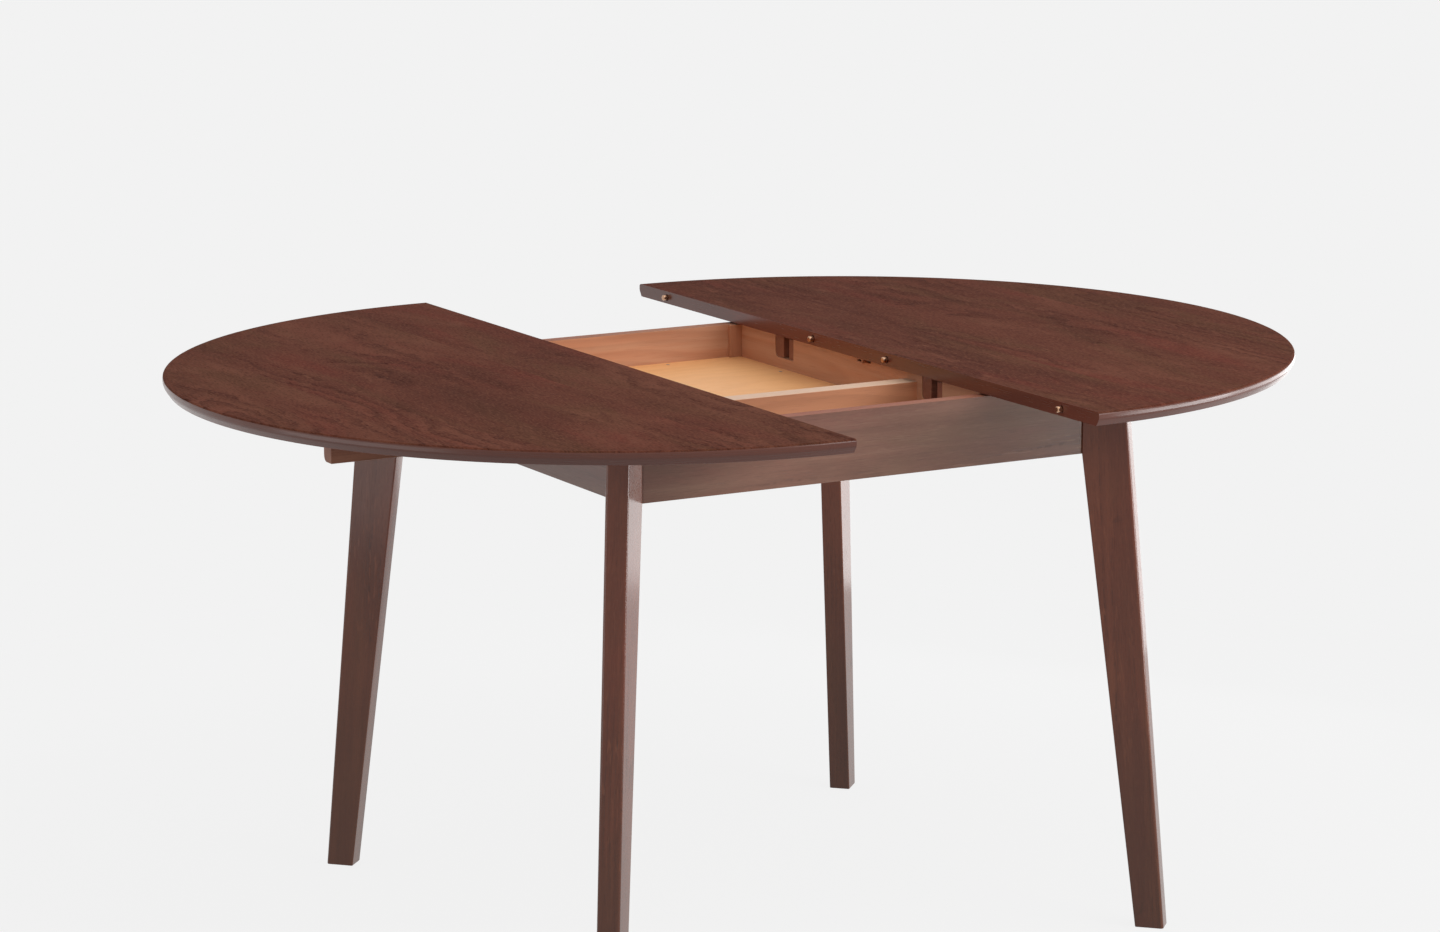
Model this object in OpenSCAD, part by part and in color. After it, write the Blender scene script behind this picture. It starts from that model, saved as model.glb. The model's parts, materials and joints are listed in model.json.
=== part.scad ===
// Round extension dining table, drawn pulled open with its leaf gap empty.
// Frame of reference: X is the way the two halves slide, Y runs along the gap, Z is up.
// The origin is on the floor under the middle of the table. Sizes are in millimetres.

/* [Table top] */
// Diameter of the closed round top
top_d = 1200; // [1000:10:1500]
// Thickness of the two half tops
top_t = 18; // [16:1:28]
// Height of the top surface above the floor
table_h = 750; // [700:5:800]
// Width of the gap between the halves when they are pulled right open
leaf_gap = 350; // [280:10:420]
// Seam left between the halves when they are pushed together
seam = 0.5; // [0.3:0.1:1]
// How far the round edge is cut back at its underside
edge_undercut = 6; // [2:0.5:8]
// Height of that undercut
edge_undercut_h = 9; // [4:0.5:12]
// Radius of the upper arris of the round edge
edge_round = 3; // [1:0.5:3]

/* [Frame] */
// Outside length of the frame along the slides
frame_l = 696; // [640:4:840]
// Outside width of the frame across the slides
frame_w = 680; // [580:4:820]
// Height of the aprons
apron_h = 90; // [80:1:110]
// Thickness of the aprons
apron_t = 20; // [18:1:24]
// Air between the aprons and the half tops
top_air = 2.5; // [2:0.5:4]
// Thickness of the two cross walls
wall_t = 16; // [15:1:20]
// Distance from a half top's straight edge to the cross wall beneath it
wall_inset = 11; // [8:1:20]
// How far a cross wall stops short of the aprons' lower edge
wall_rise = 10; // [0:1:15]
// Length of a corner block's two glued faces
block_leg = 50; // [40:1:60]
// How far a corner block stays inside the aprons' upper and lower edges
block_inset = 7; // [5:1:10]

/* [Legs] */
// Thickness of a leg board
leg_t = 30; // [26:1:36]
// Width of a leg at the floor
leg_foot_w = 38.4; // [30:0.2:48]
// Width of a leg just under the aprons
leg_knee_w = 63.7; // [54:0.1:76]
// How far a leg's inner edge runs outwards on its way down to the floor
leg_splay = 81.8; // [40:0.2:100]

/* [Runners and slides] */
// Distance from the middle of the table to the middle of each runner notch
slide_y = 194; // [160:1:200]
// Width of a runner notch
notch_w = 50; // [48:1:56]
// Depth of a runner notch below the aprons' upper edge
notch_depth = 31.5; // [30:0.5:36]
// Width of a runner
runner_w = 22; // [20:1:24]
// Running clearance under and beside a runner
runner_clear = 0.3; // [0.3:0.1:0.6]
// Radius of a runner's lower arris on its outer side
runner_round = 8; // [2:1:10]
// Distance from a runner's outer end to the round edge
runner_setback = 54; // [40:1:90]
// How far a runner's inner end stands back from the cross wall's face
runner_recess = 1; // [0:0.5:5]
// Width of the fixed bar that carries a slide channel
bar_w = 15; // [14:0.5:18]
// Height of the slide channel
channel_h = 22; // [20:0.5:24]
// Sheet thickness of the slide channel
channel_t = 1.5; // [1:0.1:2]
// Thickness of the sliding rail's screwed plate and stop
rail_t = 2; // [1.5:0.1:2.5]
// Clearance of the sliding rail in the channel's slot
rail_clear = 0.5; // [0.3:0.1:0.8]

/* [Storage well] */
// Thickness of the well's floor panel
floor_t = 6; // [4:1:9]
// Depth of the floor's upper face below the aprons' upper edge
floor_depth = 46.5; // [40:0.5:50]
// Thickness of the well's front rail
rail_board_t = 28; // [20:1:32]
// Height of the well's front rail
rail_board_h = 60; // [50:1:64]
// Depth of the front rail's upper edge below the aprons' upper edge
rail_board_drop = 9.5; // [5:0.5:15]
// Distance from the front rail to the runner notch
rail_board_gap = 12; // [8:1:20]
// Width of the strips under the floor
cleat_w = 28; // [22:1:32]
// Height of the strips under the floor
cleat_h = 15; // [14:1:18]
// Width of the upright strips in the well's back corners
strip_w = 19; // [12:1:24]
// Thickness of those upright strips
strip_t = 6; // [4:1:10]

/* [Locating pins] */
// Distance of the outer pins from the ends of the straight edge
pin_inset = 84; // [60:1:120]
// Distance of the inner pins from the middle of the straight edge
pin_inner_y = 97; // [80:1:140]
// Diameter of a pin where it stands out
pin_d = 8; // [6:1:9]
// How far a pin stands out of the edge
pin_out = 7; // [5:1:12]
// How deep a pin is pressed into the edge
pin_in = 22; // [15:1:30]
// Length of a sleeve
sleeve_l = 16; // [15:1:25]

/* [Lock] */
// Place of the lock along the straight edge
lock_y = -24; // [-60:1:60]
// Width of the lock's plates
lock_w = 24; // [22:1:30]
// How far the bolt is thrown
bolt_throw = 15; // [12:1:18]
// Width of the bolt
bolt_w = 10; // [8:1:12]
// Thickness of the bolt
bolt_t = 2.4; // [2:0.1:2.4]

/* [Hidden] */

// Colours
stained = [0.34, 0.16, 0.12];
pale_wood = [0.80, 0.58, 0.42];
plywood = [0.88, 0.69, 0.46];
steel = [0.62, 0.62, 0.64];
dark_steel = [0.30, 0.29, 0.29];
brass = [0.80, 0.66, 0.38];

// Levels
top_under = table_h - top_t;
apron_top = top_under - top_air;
apron_low = apron_top - apron_h;
floor_top = apron_top - floor_depth;
floor_low = floor_top - floor_t;
notch_low = apron_top - notch_depth;
wall_low = apron_low + wall_rise;

// Plan
top_r = top_d / 2;
edge_x = leaf_gap / 2;
travel = edge_x - seam / 2;
frame_x = frame_l / 2;
frame_y = frame_w / 2;
inner_x = frame_x - apron_t;
inner_y = frame_y - apron_t;
wall_x = edge_x + wall_inset;
wall_back_x = wall_x + wall_t;
eps = 1;
round_fn = 48;
arc_steps = 6;
fit = 0.1;

// Runners, from the notch that they slide in
notch_y0 = slide_y - notch_w / 2;
runner_low = notch_low + runner_clear;
runner_y1 = notch_w - runner_clear;
runner_y0 = runner_y1 - runner_w;
runner_x0 = wall_x + runner_recess;
runner_far_y = slide_y + notch_w / 2;
runner_x1 = edge_x + sqrt(pow(top_r, 2) - pow(runner_far_y, 2)) - runner_setback;

// Slide section, measured from the runner's inner side towards the bar
slide_z = (runner_low + top_under) / 2;
plate_h = channel_h - 4;
web_h = 6;
head_h = 12;
head_depth = 2.5;
channel_front = rail_t + 1;
head_front = channel_front + channel_t + 2 * rail_clear;
channel_x0 = wall_back_x + 1;
channel_x1 = frame_x - 2;
channel_l = channel_x1 - channel_x0;
rail_l = channel_l + travel + 5;
bar_x0 = wall_x + 2;
bar_x1 = frame_x - 1;
bar_h = notch_depth - 2.5;

// Fasteners
screw_r = 2;
screw_head_r = 4;
screw_head_h = 2.4;
small_screw_r = 1.5;
small_head_r = 2.8;
low_head_h = 1.5;
small_screw_l = 8;
dowel_r = 4;
dowel_panel = 12;
dowel_end = 15;
bolt_r = 4;
bolt_hole_r = 4.5;
bolt_reach = 42;
bolt_head_r = 7.5;
bolt_head_h = 5.3;
washer_r = 10;
washer_t = 1.6;
insert_r = 6;
insert_l = 30;
insert_set = 1;

// Leg seat: the flat on the frame's corner
seat_cut = leg_t / sqrt(2);
seat_x = frame_x - seat_cut / 2;
seat_y = frame_y - seat_cut / 2;
seat_depth = (apron_t - seat_cut / 2) * sqrt(2);
block_depth = block_leg / sqrt(2);
bolt_levels = [apron_low + apron_h * 0.27, apron_low + apron_h * 0.73];

// Well
board_y0 = -(notch_y0 - rail_board_gap);
board_y1 = board_y0 + rail_board_t;
board_top = apron_top - rail_board_drop;
board_low = board_top - rail_board_h;
cleat_low = floor_low - cleat_h;
side_cleat_y0 = board_y1 + cleat_w;
side_cleat_y1 = inner_y - cleat_w;
side_cleat_l = side_cleat_y1 - side_cleat_y0;

// Pins
pin_z = table_h - top_t / 2;
pin_ys = [-(top_r - pin_inset), -pin_inner_y, pin_inner_y, top_r - pin_inset];
pin_press_r = pin_d / 2 + 0.5;
pin_tip = 1;
sleeve_r = pin_d / 2 + 1.5;
sleeve_bore_r = pin_d / 2 + 0.1;

// Lock, hung in this order under the half top: plate, bolt, keeper bridge
lock_plate_t = 1.5;
lock_low = top_under - lock_plate_t - bolt_t - 2 * runner_clear - 1.4;
bolt_top = top_under - lock_plate_t - runner_clear;
lock_plate_l = 58;
lock_edge = 7;
lock_bolt_edge = 4;
lock_screw_edge = 3.5;
lock_screw_l = 10;
lock_head_h = 1.2;
lock_tab_w = 5;
lock_tab_t = 1;
keeper_l = 26;
keeper_edge = 2;
lock_notch_w = lock_w + 4;
lock_notch_low = lock_low - 0.5;

// Thrown, the bolt reaches just past the keeper's bridge and its tail stays in the plate's far bridge
lock_past = 0.5;
lock_tail = 3;
bridge_w = bolt_w + 6;
bridge_l = bolt_throw - lock_bolt_edge - seam - keeper_edge - lock_past;
lock_bolt_l = lock_edge + lock_plate_l - 2 * lock_screw_edge - bridge_l + lock_tail + bolt_throw - lock_bolt_edge;

// Shared helpers

// Mirrors what follows to the left side of the table
module on_side(side) {
    if (side < 0) mirror([1, 0, 0]) children();
    else children();
}

// Mirrors what follows to one of the four corners
module at_corner(sx, sy) {
    if (sy < 0) on_side(sx) mirror([0, 1, 0]) children();
    else on_side(sx) children();
}

// Moves a slide's own section to the front or the back notch
module at_notch(sy) {
    translate([0, sy < 0 ? -slide_y - notch_w / 2 : notch_y0, 0]) children();
}

// A countersunk screw along +Z with its head's flat at 0, or its hole when grown
module countersunk(l, r, head_r, head_h, grow = 0) {
    cylinder(h = head_h, r1 = head_r + grow, r2 = r + grow, $fn = round_fn);
    cylinder(h = l + grow, r = r + grow, $fn = round_fn);
    if (grow > 0) translate([0, 0, -eps]) cylinder(h = eps, r = head_r + grow, $fn = round_fn);
}

// A screw along +Z with a low round head that stands above 0
module low_head_screw(l, r, head_r, head_h) {
    translate([0, 0, -head_h]) cylinder(h = head_h, r = head_r, $fn = round_fn);
    cylinder(h = l, r = r, $fn = round_fn);
}

// The same along one of the row's axes
module along_x() { rotate([0, 90, 0]) children(); }
module along_minus_x() { rotate([0, -90, 0]) children(); }
module along_y() { rotate([-90, 0, 0]) children(); }
module along_minus_y() { rotate([90, 0, 0]) children(); }

// Half tops

// Section of the round edge, from the centre line out
module edge_section() {
    arris = [for (i = [0:arc_steps]) let (a = i * 90 / arc_steps)
        [top_r - edge_round + edge_round * cos(a), table_h - edge_round + edge_round * sin(a)]];
    polygon(concat([[0, top_under], [top_r - edge_undercut, top_under],
        [top_r, top_under + edge_undercut_h]], arris, [[0, table_h]]));
}

module half_disc() {
    translate([edge_x, 0, 0]) rotate([0, 0, -90])
        rotate_extrude(angle = 180, $fn = 240) edge_section();
}

// Screws from below through both runners of one side
runner_screw_l = 40;
runner_screw_z = top_under + 12 - runner_screw_l;
module runner_screw_places() {
    first = runner_x0 + 30;
    last = runner_x1 - 30;
    for (sy = [-1, 1], i = [0:3])
        at_notch(sy) translate([first + (last - first) * i / 3, (runner_y0 + runner_y1) / 2, runner_screw_z])
            children();
}

module runner_screw_holes() {
    runner_screw_places() {
        countersunk(runner_screw_l, screw_r, screw_head_r, screw_head_h, fit);
        translate([0, 0, runner_low - eps - runner_screw_z])
            cylinder(h = runner_screw_z - runner_low + eps, r = screw_head_r + fit, $fn = round_fn);
    }
}

module top_left() {
    color(stained) difference() {
        on_side(-1) half_disc();
        on_side(-1) runner_screw_holes();
        for (y = pin_ys) translate([-edge_x + eps, y, pin_z]) along_minus_x()
            cylinder(h = sleeve_l + eps, r = sleeve_r, $fn = round_fn);
        lock_plate_screw_places() lock_screw(fit);
    }
}

module top_right() {
    color(stained) difference() {
        half_disc();
        runner_screw_holes();
        for (y = pin_ys) translate([edge_x - eps, y, pin_z]) along_x()
            cylinder(h = pin_in + eps, r = pin_press_r, $fn = round_fn);
        keeper_screw_places() lock_screw(fit);
    }
}

module locating_pins() {
    color(brass) for (y = pin_ys) translate([edge_x, y, pin_z]) {
        along_x() cylinder(h = pin_in, r = pin_press_r, $fn = round_fn);
        along_minus_x() cylinder(h = pin_out - pin_tip, r = pin_d / 2, $fn = round_fn);
        translate([-(pin_out - pin_tip), 0, 0]) along_minus_x()
            cylinder(h = pin_tip, r1 = pin_d / 2, r2 = pin_d / 2 - pin_tip, $fn = round_fn);
    }
}

module pin_sleeves() {
    color(brass) for (y = pin_ys) translate([-edge_x, y, pin_z]) along_minus_x() difference() {
        cylinder(h = sleeve_l, r = sleeve_r, $fn = round_fn);
        translate([0, 0, -eps]) cylinder(h = sleeve_l - 2 + eps, r = sleeve_bore_r, $fn = round_fn);
    }
}

// Runners and their steel slides

module runner_section() {
    arris = [for (i = [0:arc_steps]) let (a = -90 + i * 90 / arc_steps)
        [runner_y1 - runner_round + runner_round * cos(a), runner_low + runner_round + runner_round * sin(a)]];
    polygon(concat([[runner_y0, runner_low]], arris, [[runner_y1, top_under], [runner_y0, top_under]]));
}

// Extrudes a Y, Z outline along +X
module run_x(x0, x1) {
    translate([x0, 0, 0]) rotate([90, 0, 90]) linear_extrude(x1 - x0) children();
}

rail_screw_xs = [15, rail_l / 2, rail_l - 15];
rail_screw_dz = 6;
module rail_screw_places(sy) {
    at_notch(sy) for (i = [0:2])
        translate([channel_x0 + rail_screw_xs[i], runner_y0 - rail_t, slide_z + (i == 1 ? -1 : 1) * rail_screw_dz])
            along_y() children();
}

module rail_screw(grow = 0) {
    countersunk(small_screw_l, small_screw_r, small_head_r, rail_t, grow);
}

module runner(side, sy) {
    color(stained) on_side(side) difference() {
        at_notch(sy) run_x(runner_x0, runner_x1) runner_section();
        runner_screw_holes();
        rail_screw_places(sy) rail_screw(fit);
    }
}

module runner_screws(side) {
    color(dark_steel) on_side(side) runner_screw_places()
        countersunk(runner_screw_l, screw_r, screw_head_r, screw_head_h);
}

// T-shaped rail with a stop at its inner end that meets the channel's end
module slide_rail(side, sy) {
    stop_x0 = channel_x0 - runner_clear - rail_t;
    color(steel) on_side(side) difference() {
        at_notch(sy) union() {
            translate([stop_x0, runner_y0 - rail_t, slide_z - plate_h / 2])
                cube([channel_x0 + rail_l - stop_x0, rail_t, plate_h]);
            translate([stop_x0, runner_y0 - head_front, slide_z - web_h / 2])
                cube([channel_x0 + rail_l - stop_x0, head_front, web_h]);
            translate([stop_x0, runner_y0 - head_front - head_depth, slide_z - head_h / 2])
                cube([channel_x0 + rail_l - stop_x0, head_depth, head_h]);
            translate([stop_x0, runner_y0 - head_front - head_depth, slide_z - plate_h / 2])
                cube([rail_t, head_front + head_depth, plate_h]);
        }
        rail_screw_places(sy) rail_screw(fit);
    }
}

module rail_screws(side) {
    color(dark_steel) on_side(side) for (sy = [-1, 1]) rail_screw_places(sy) rail_screw();
}

// Fixed channel on the bar, open towards the runner
channel_screw_xs = [12, channel_l / 2, channel_l - 25];
module channel_screw_places(sy) {
    at_notch(sy) for (x = channel_screw_xs)
        translate([channel_x0 + x, bar_w + channel_t, slide_z]) along_minus_y() children();
}

module slide_channel(side, sy) {
    front = runner_y0 - channel_front;
    color(steel) on_side(side) difference() {
        at_notch(sy) difference() {
            translate([channel_x0, bar_w, slide_z - channel_h / 2]) cube([channel_l, front - bar_w, channel_h]);
            translate([channel_x0 - eps, bar_w + channel_t, slide_z - channel_h / 2 + channel_t])
                cube([channel_l + 2 * eps, front - bar_w - 2 * channel_t, channel_h - 2 * channel_t]);
            translate([channel_x0 - eps, front - 2 * channel_t, slide_z - web_h / 2 - rail_clear])
                cube([channel_l + 2 * eps, 3 * channel_t, web_h + 2 * rail_clear]);
        }
        channel_screw_places(sy) translate([0, 0, -eps])
            cylinder(h = channel_t + 2 * eps, r = small_screw_r + fit, $fn = round_fn);
    }
}

module channel_screws() {
    color(dark_steel) for (side = [-1, 1], sy = [-1, 1]) on_side(side) channel_screw_places(sy)
        low_head_screw(small_screw_l + channel_t, small_screw_r, small_head_r, low_head_h);
}

// Fixed bars in the notches, screwed down into the cross wall and the end apron
bar_screw_l = 42;
module bar_screw_places() {
    for (sy = [-1, 1], x = [wall_x + wall_t / 2, inner_x + apron_t / 2])
        at_notch(sy) translate([x, bar_w / 2, notch_low + bar_h]) rotate([180, 0, 0]) children();
}

module bar_screw(grow = 0) {
    countersunk(bar_screw_l, screw_r, screw_head_r, screw_head_h, grow);
}

module guide_bar(side, sy) {
    color(stained) on_side(side) difference() {
        at_notch(sy) translate([bar_x0, 0, notch_low]) cube([bar_x1 - bar_x0, bar_w, bar_h]);
        bar_screw_places() bar_screw(fit);
        channel_screw_places(sy) cylinder(h = small_screw_l + channel_t + fit, r = small_screw_r + fit, $fn = round_fn);
    }
}

module guide_bar_screws() {
    color(dark_steel) for (side = [-1, 1]) on_side(side) bar_screw_places() bar_screw();
}

// Frame

// Bolts run along the corner's diagonal, +Z pointing out into the leg
module leg_bolt_places() {
    for (z = bolt_levels) translate([seat_x, seat_y, z]) rotate([0, 0, 45]) along_x() children();
}

module leg_bolt_holes() {
    leg_bolt_places() translate([0, 0, -seat_depth - block_depth - eps])
        cylinder(h = seat_depth + block_depth + 2 * eps, r = bolt_hole_r, $fn = round_fn);
}

module all_leg_bolt_holes() {
    for (sx = [-1, 1], sy = [-1, 1]) at_corner(sx, sy) leg_bolt_holes();
}

// Dowels between the cross walls and the aprons, and between the front rail and the walls
dowel_levels = [wall_low + 15, notch_low - 18];
module dowel_places() {
    for (sx = [-1, 1], sy = [-1, 1], z = dowel_levels)
        at_corner(sx, sy) translate([wall_x + wall_t / 2, inner_y - dowel_end, z]) along_y() children();
    for (sx = [-1, 1], z = [board_low + 12, board_top - 12])
        on_side(sx) translate([wall_x - dowel_end, (board_y0 + board_y1) / 2, z]) along_x() children();
}

module dowel_holes() {
    dowel_places() translate([0, 0, -fit])
        cylinder(h = dowel_end + dowel_panel + 2 * fit, r = dowel_r + fit, $fn = round_fn);
}

module frame_dowels() {
    color(pale_wood) dowel_places() cylinder(h = dowel_end + dowel_panel, r = dowel_r, $fn = round_fn);
}

module apron_along_x(sy) {
    color(stained) difference() {
        at_corner(1, sy) translate([0, 0, apron_low]) linear_extrude(apron_h) polygon([
            [-inner_x, inner_y], [inner_x, inner_y], [seat_x, seat_y], [frame_x - seat_cut, frame_y],
            [seat_cut - frame_x, frame_y], [-seat_x, seat_y]]);
        all_leg_bolt_holes();
        dowel_holes();
        if (sy > 0) cleat_screw_places() cleat_screw(fit);
    }
}

module runner_notches() {
    for (sy = [-1, 1]) at_notch(sy) translate([0, 0, notch_low])
        cube([frame_x + eps, notch_w, notch_depth + eps]);
}

module apron_along_y(side) {
    color(stained) on_side(side) difference() {
        translate([0, 0, apron_low]) linear_extrude(apron_h) polygon([
            [inner_x, -inner_y], [seat_x, -seat_y], [frame_x, seat_cut - frame_y],
            [frame_x, frame_y - seat_cut], [seat_x, seat_y], [inner_x, inner_y]]);
        runner_notches();
        all_leg_bolt_holes();
        bar_screw_places() bar_screw(fit);
    }
}

module cross_wall(side) {
    color(pale_wood) difference() {
        on_side(side) difference() {
            translate([wall_x, -inner_y, wall_low]) cube([wall_t, 2 * inner_y, apron_top - wall_low]);
            runner_notches();
            translate([wall_x - eps, lock_y - lock_notch_w / 2, lock_notch_low])
                cube([wall_t + 2 * eps, lock_notch_w, apron_top - lock_notch_low + eps]);
            bar_screw_places() bar_screw(fit);
        }
        dowel_holes();
        cleat_screw_places() cleat_screw(fit);
    }
}

module corner_block(sx, sy) {
    color(pale_wood) at_corner(sx, sy) difference() {
        translate([0, 0, apron_low + block_inset]) linear_extrude(apron_h - 2 * block_inset)
            polygon([[inner_x, inner_y], [inner_x - block_leg, inner_y], [inner_x, inner_y - block_leg]]);
        leg_bolt_holes();
    }
}

// Storage well

module well_floor() {
    color(plywood) difference() {
        translate([-wall_x, board_y1, floor_low]) cube([2 * wall_x, inner_y - board_y1, floor_t]);
        floor_screw_places() floor_screw(fit);
    }
}

module well_front_rail() {
    color(pale_wood) difference() {
        translate([-wall_x, board_y0, board_low]) cube([2 * wall_x, rail_board_t, rail_board_h]);
        dowel_holes();
        cleat_screw_places() cleat_screw(fit);
    }
}

module well_corner_strips() {
    color(pale_wood) for (sx = [-1, 1]) on_side(sx) translate([wall_x - strip_w, inner_y - strip_t, floor_top])
        cube([strip_w, strip_t, apron_top - floor_top]);
}

module cleat_box(x0, x1, y0, y1) {
    color(pale_wood) difference() {
        translate([x0, y0, cleat_low]) cube([x1 - x0, y1 - y0, cleat_h]);
        cleat_screw_places() cleat_screw(fit);
        floor_screw_places() floor_screw(fit);
    }
}

// Level screws that hold the strips to the walls, the front rail and the back apron
cleat_screw_l = cleat_w + 10;
cleat_screw_x = wall_x * 0.7;
module cleat_screw_places() {
    z = cleat_low + cleat_h / 2;
    for (sx = [-1, 1], k = [0.25, 0.75])
        on_side(sx) translate([wall_x - cleat_w, side_cleat_y0 + side_cleat_l * k, z]) along_x() children();
    for (sx = [-1, 1]) {
        on_side(sx) translate([cleat_screw_x, inner_y - cleat_w, z]) along_y() children();
        on_side(sx) translate([cleat_screw_x, side_cleat_y0, z]) along_minus_y() children();
    }
}

module cleat_screw(grow = 0) {
    countersunk(cleat_screw_l, screw_r, screw_head_r, screw_head_h, grow);
}

module cleat_screws() {
    color(dark_steel) cleat_screw_places() cleat_screw();
}

// Upright screws through the floor panel into the strips
floor_screw_l = floor_t + 9;
module floor_screw_places() {
    for (sx = [-1, 1], k = [0.1, 0.36, 0.715]) on_side(sx)
        translate([wall_x - cleat_w / 2, side_cleat_y0 + side_cleat_l * k, floor_top])
            rotate([180, 0, 0]) children();
    for (sx = [-1, 1], y = [board_y1 + cleat_w / 2, inner_y - cleat_w / 2])
        translate([sx * wall_x / 3, y, floor_top]) rotate([180, 0, 0]) children();
}

module floor_screw(grow = 0) {
    countersunk(floor_screw_l, small_screw_r, small_head_r, low_head_h, grow);
}

module floor_screws() {
    color(steel) floor_screw_places() floor_screw();
}

// Legs

// Outline of a leg in its own board's plane: outwards from the seat, and up
module leg_outline() {
    foot_x = leg_splay + leg_foot_w;
    slope = (foot_x - leg_knee_w) / apron_low;
    polygon([[0, apron_low], [leg_splay, 0], [foot_x, 0], [foot_x - slope * apron_top, apron_top], [0, apron_top]]);
}

module leg(sx, sy) {
    color(stained) at_corner(sx, sy) difference() {
        translate([seat_x, seat_y, 0]) rotate([0, 0, 45]) translate([0, leg_t / 2, 0]) rotate([90, 0, 0])
            linear_extrude(leg_t) leg_outline();
        leg_bolt_places() {
            translate([0, 0, -eps])
                cylinder(h = insert_l + insert_set + eps, r = insert_r + fit / 2, $fn = round_fn);
            cylinder(h = bolt_reach + 2, r = bolt_r + fit, $fn = round_fn);
        }
    }
}

module leg_bolts() {
    shank_l = seat_depth + block_depth + washer_t + bolt_reach;
    color(steel) for (sx = [-1, 1], sy = [-1, 1]) at_corner(sx, sy) leg_bolt_places()
        translate([0, 0, bolt_reach - shank_l]) {
            cylinder(h = shank_l, r = bolt_r, $fn = round_fn);
            translate([0, 0, -bolt_head_h]) cylinder(h = bolt_head_h, r = bolt_head_r, $fn = 6);
        }
}

module leg_washers() {
    color(steel) for (sx = [-1, 1], sy = [-1, 1]) at_corner(sx, sy) leg_bolt_places()
        translate([0, 0, -seat_depth - block_depth - washer_t]) difference() {
            cylinder(h = washer_t, r = washer_r, $fn = round_fn);
            translate([0, 0, -eps]) cylinder(h = washer_t + 2 * eps, r = bolt_r + fit, $fn = round_fn);
        }
}

module leg_inserts() {
    color(brass) for (sx = [-1, 1], sy = [-1, 1]) at_corner(sx, sy) leg_bolt_places()
        translate([0, 0, insert_set]) difference() {
            cylinder(h = insert_l, r = insert_r, $fn = round_fn);
            translate([0, 0, -eps]) cylinder(h = insert_l + 2 * eps, r = bolt_r + fit / 2, $fn = round_fn);
        }
}

// Lock under the straight edges: a flat bolt in two bridges, and a keeper

lock_plate_x1 = -edge_x - lock_edge;
lock_plate_x0 = lock_plate_x1 - lock_plate_l;
lock_bolt_x1 = -edge_x - lock_bolt_edge;
lock_bolt_x0 = lock_bolt_x1 - lock_bolt_l;
keeper_x0 = edge_x + keeper_edge;

module lock_screw(grow = 0) {
    if (grow > 0) cylinder(h = lock_screw_l + grow, r = small_screw_r + grow, $fn = round_fn);
    else translate([0, 0, -lock_plate_t])
        low_head_screw(lock_screw_l + lock_plate_t, small_screw_r, small_head_r, lock_head_h);
}

module lock_plate_screw_places() {
    for (x = [lock_plate_x0 + lock_screw_edge, (lock_plate_x0 + lock_plate_x1) / 2], sy = [-1, 1])
        translate([x, lock_y + sy * (lock_w / 2 - lock_screw_edge), top_under]) children();
}

module keeper_screw_places() {
    translate([keeper_x0 + keeper_l - lock_screw_edge, lock_y, top_under]) children();
    translate([keeper_x0 + keeper_l - 3 * lock_screw_edge, lock_y, top_under]) children();
}

// A bridge that the bolt passes through
module bridge(x0) {
    difference() {
        translate([x0, lock_y - bridge_w / 2, lock_low]) cube([bridge_l, bridge_w, top_under - lock_low]);
        translate([x0 - eps, lock_y - bolt_w / 2 - runner_clear, bolt_top - bolt_t - runner_clear])
            cube([bridge_l + 2 * eps, bolt_w + 2 * runner_clear, bolt_t + 2 * runner_clear]);
    }
}

module lock_plate() {
    color(steel) difference() {
        union() {
            translate([lock_plate_x0, lock_y - lock_w / 2, top_under - lock_plate_t])
                cube([lock_plate_l, lock_w, lock_plate_t]);
            bridge(lock_plate_x1 - bridge_l);
            bridge(lock_plate_x0 + 2 * lock_screw_edge);
        }
        lock_plate_screw_places() translate([0, 0, -lock_plate_t - eps])
            cylinder(h = lock_plate_t + 2 * eps, r = small_screw_r + fit, $fn = round_fn);
    }
}

// Flat bolt with a finger tab that stands to one side between the bridges
module lock_bolt() {
    tab_x = lock_plate_x0 + 2 * lock_screw_edge + bridge_l + 1;
    color(dark_steel) union() {
        translate([lock_bolt_x0, lock_y - bolt_w / 2, bolt_top - bolt_t]) cube([lock_bolt_l, bolt_w, bolt_t]);
        translate([tab_x, lock_y, bolt_top - bolt_t]) cube([lock_tab_w, lock_w / 2, lock_tab_t]);
    }
}

module lock_keeper() {
    color(steel) difference() {
        union() {
            translate([keeper_x0, lock_y - lock_w / 2, top_under - lock_plate_t])
                cube([keeper_l, lock_w, lock_plate_t]);
            bridge(keeper_x0);
        }
        keeper_screw_places() translate([0, 0, -lock_plate_t - eps])
            cylinder(h = lock_plate_t + 2 * eps, r = small_screw_r + fit, $fn = round_fn);
    }
}

module lock_plate_screws() {
    color(dark_steel) lock_plate_screw_places() lock_screw();
}

module lock_keeper_screws() {
    color(dark_steel) keeper_screw_places() lock_screw();
}

top_left();
top_right();
locating_pins();
pin_sleeves();
runner(-1, -1);  // runner_left_front
runner(-1, 1);  // runner_left_back
runner(1, -1);  // runner_right_front
runner(1, 1);  // runner_right_back
slide_rail(-1, -1);  // slide_rail_left_front
slide_rail(-1, 1);  // slide_rail_left_back
slide_rail(1, -1);  // slide_rail_right_front
slide_rail(1, 1);  // slide_rail_right_back
runner_screws(-1);  // runner_screws_left
runner_screws(1);  // runner_screws_right
rail_screws(-1);  // rail_screws_left
rail_screws(1);  // rail_screws_right
lock_plate();
lock_bolt();
lock_keeper();
lock_plate_screws();
lock_keeper_screws();
slide_channel(-1, -1);  // slide_channel_left_front
slide_channel(-1, 1);  // slide_channel_left_back
slide_channel(1, -1);  // slide_channel_right_front
slide_channel(1, 1);  // slide_channel_right_back
channel_screws();
guide_bar(-1, -1);  // guide_bar_left_front
guide_bar(-1, 1);  // guide_bar_left_back
guide_bar(1, -1);  // guide_bar_right_front
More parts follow.
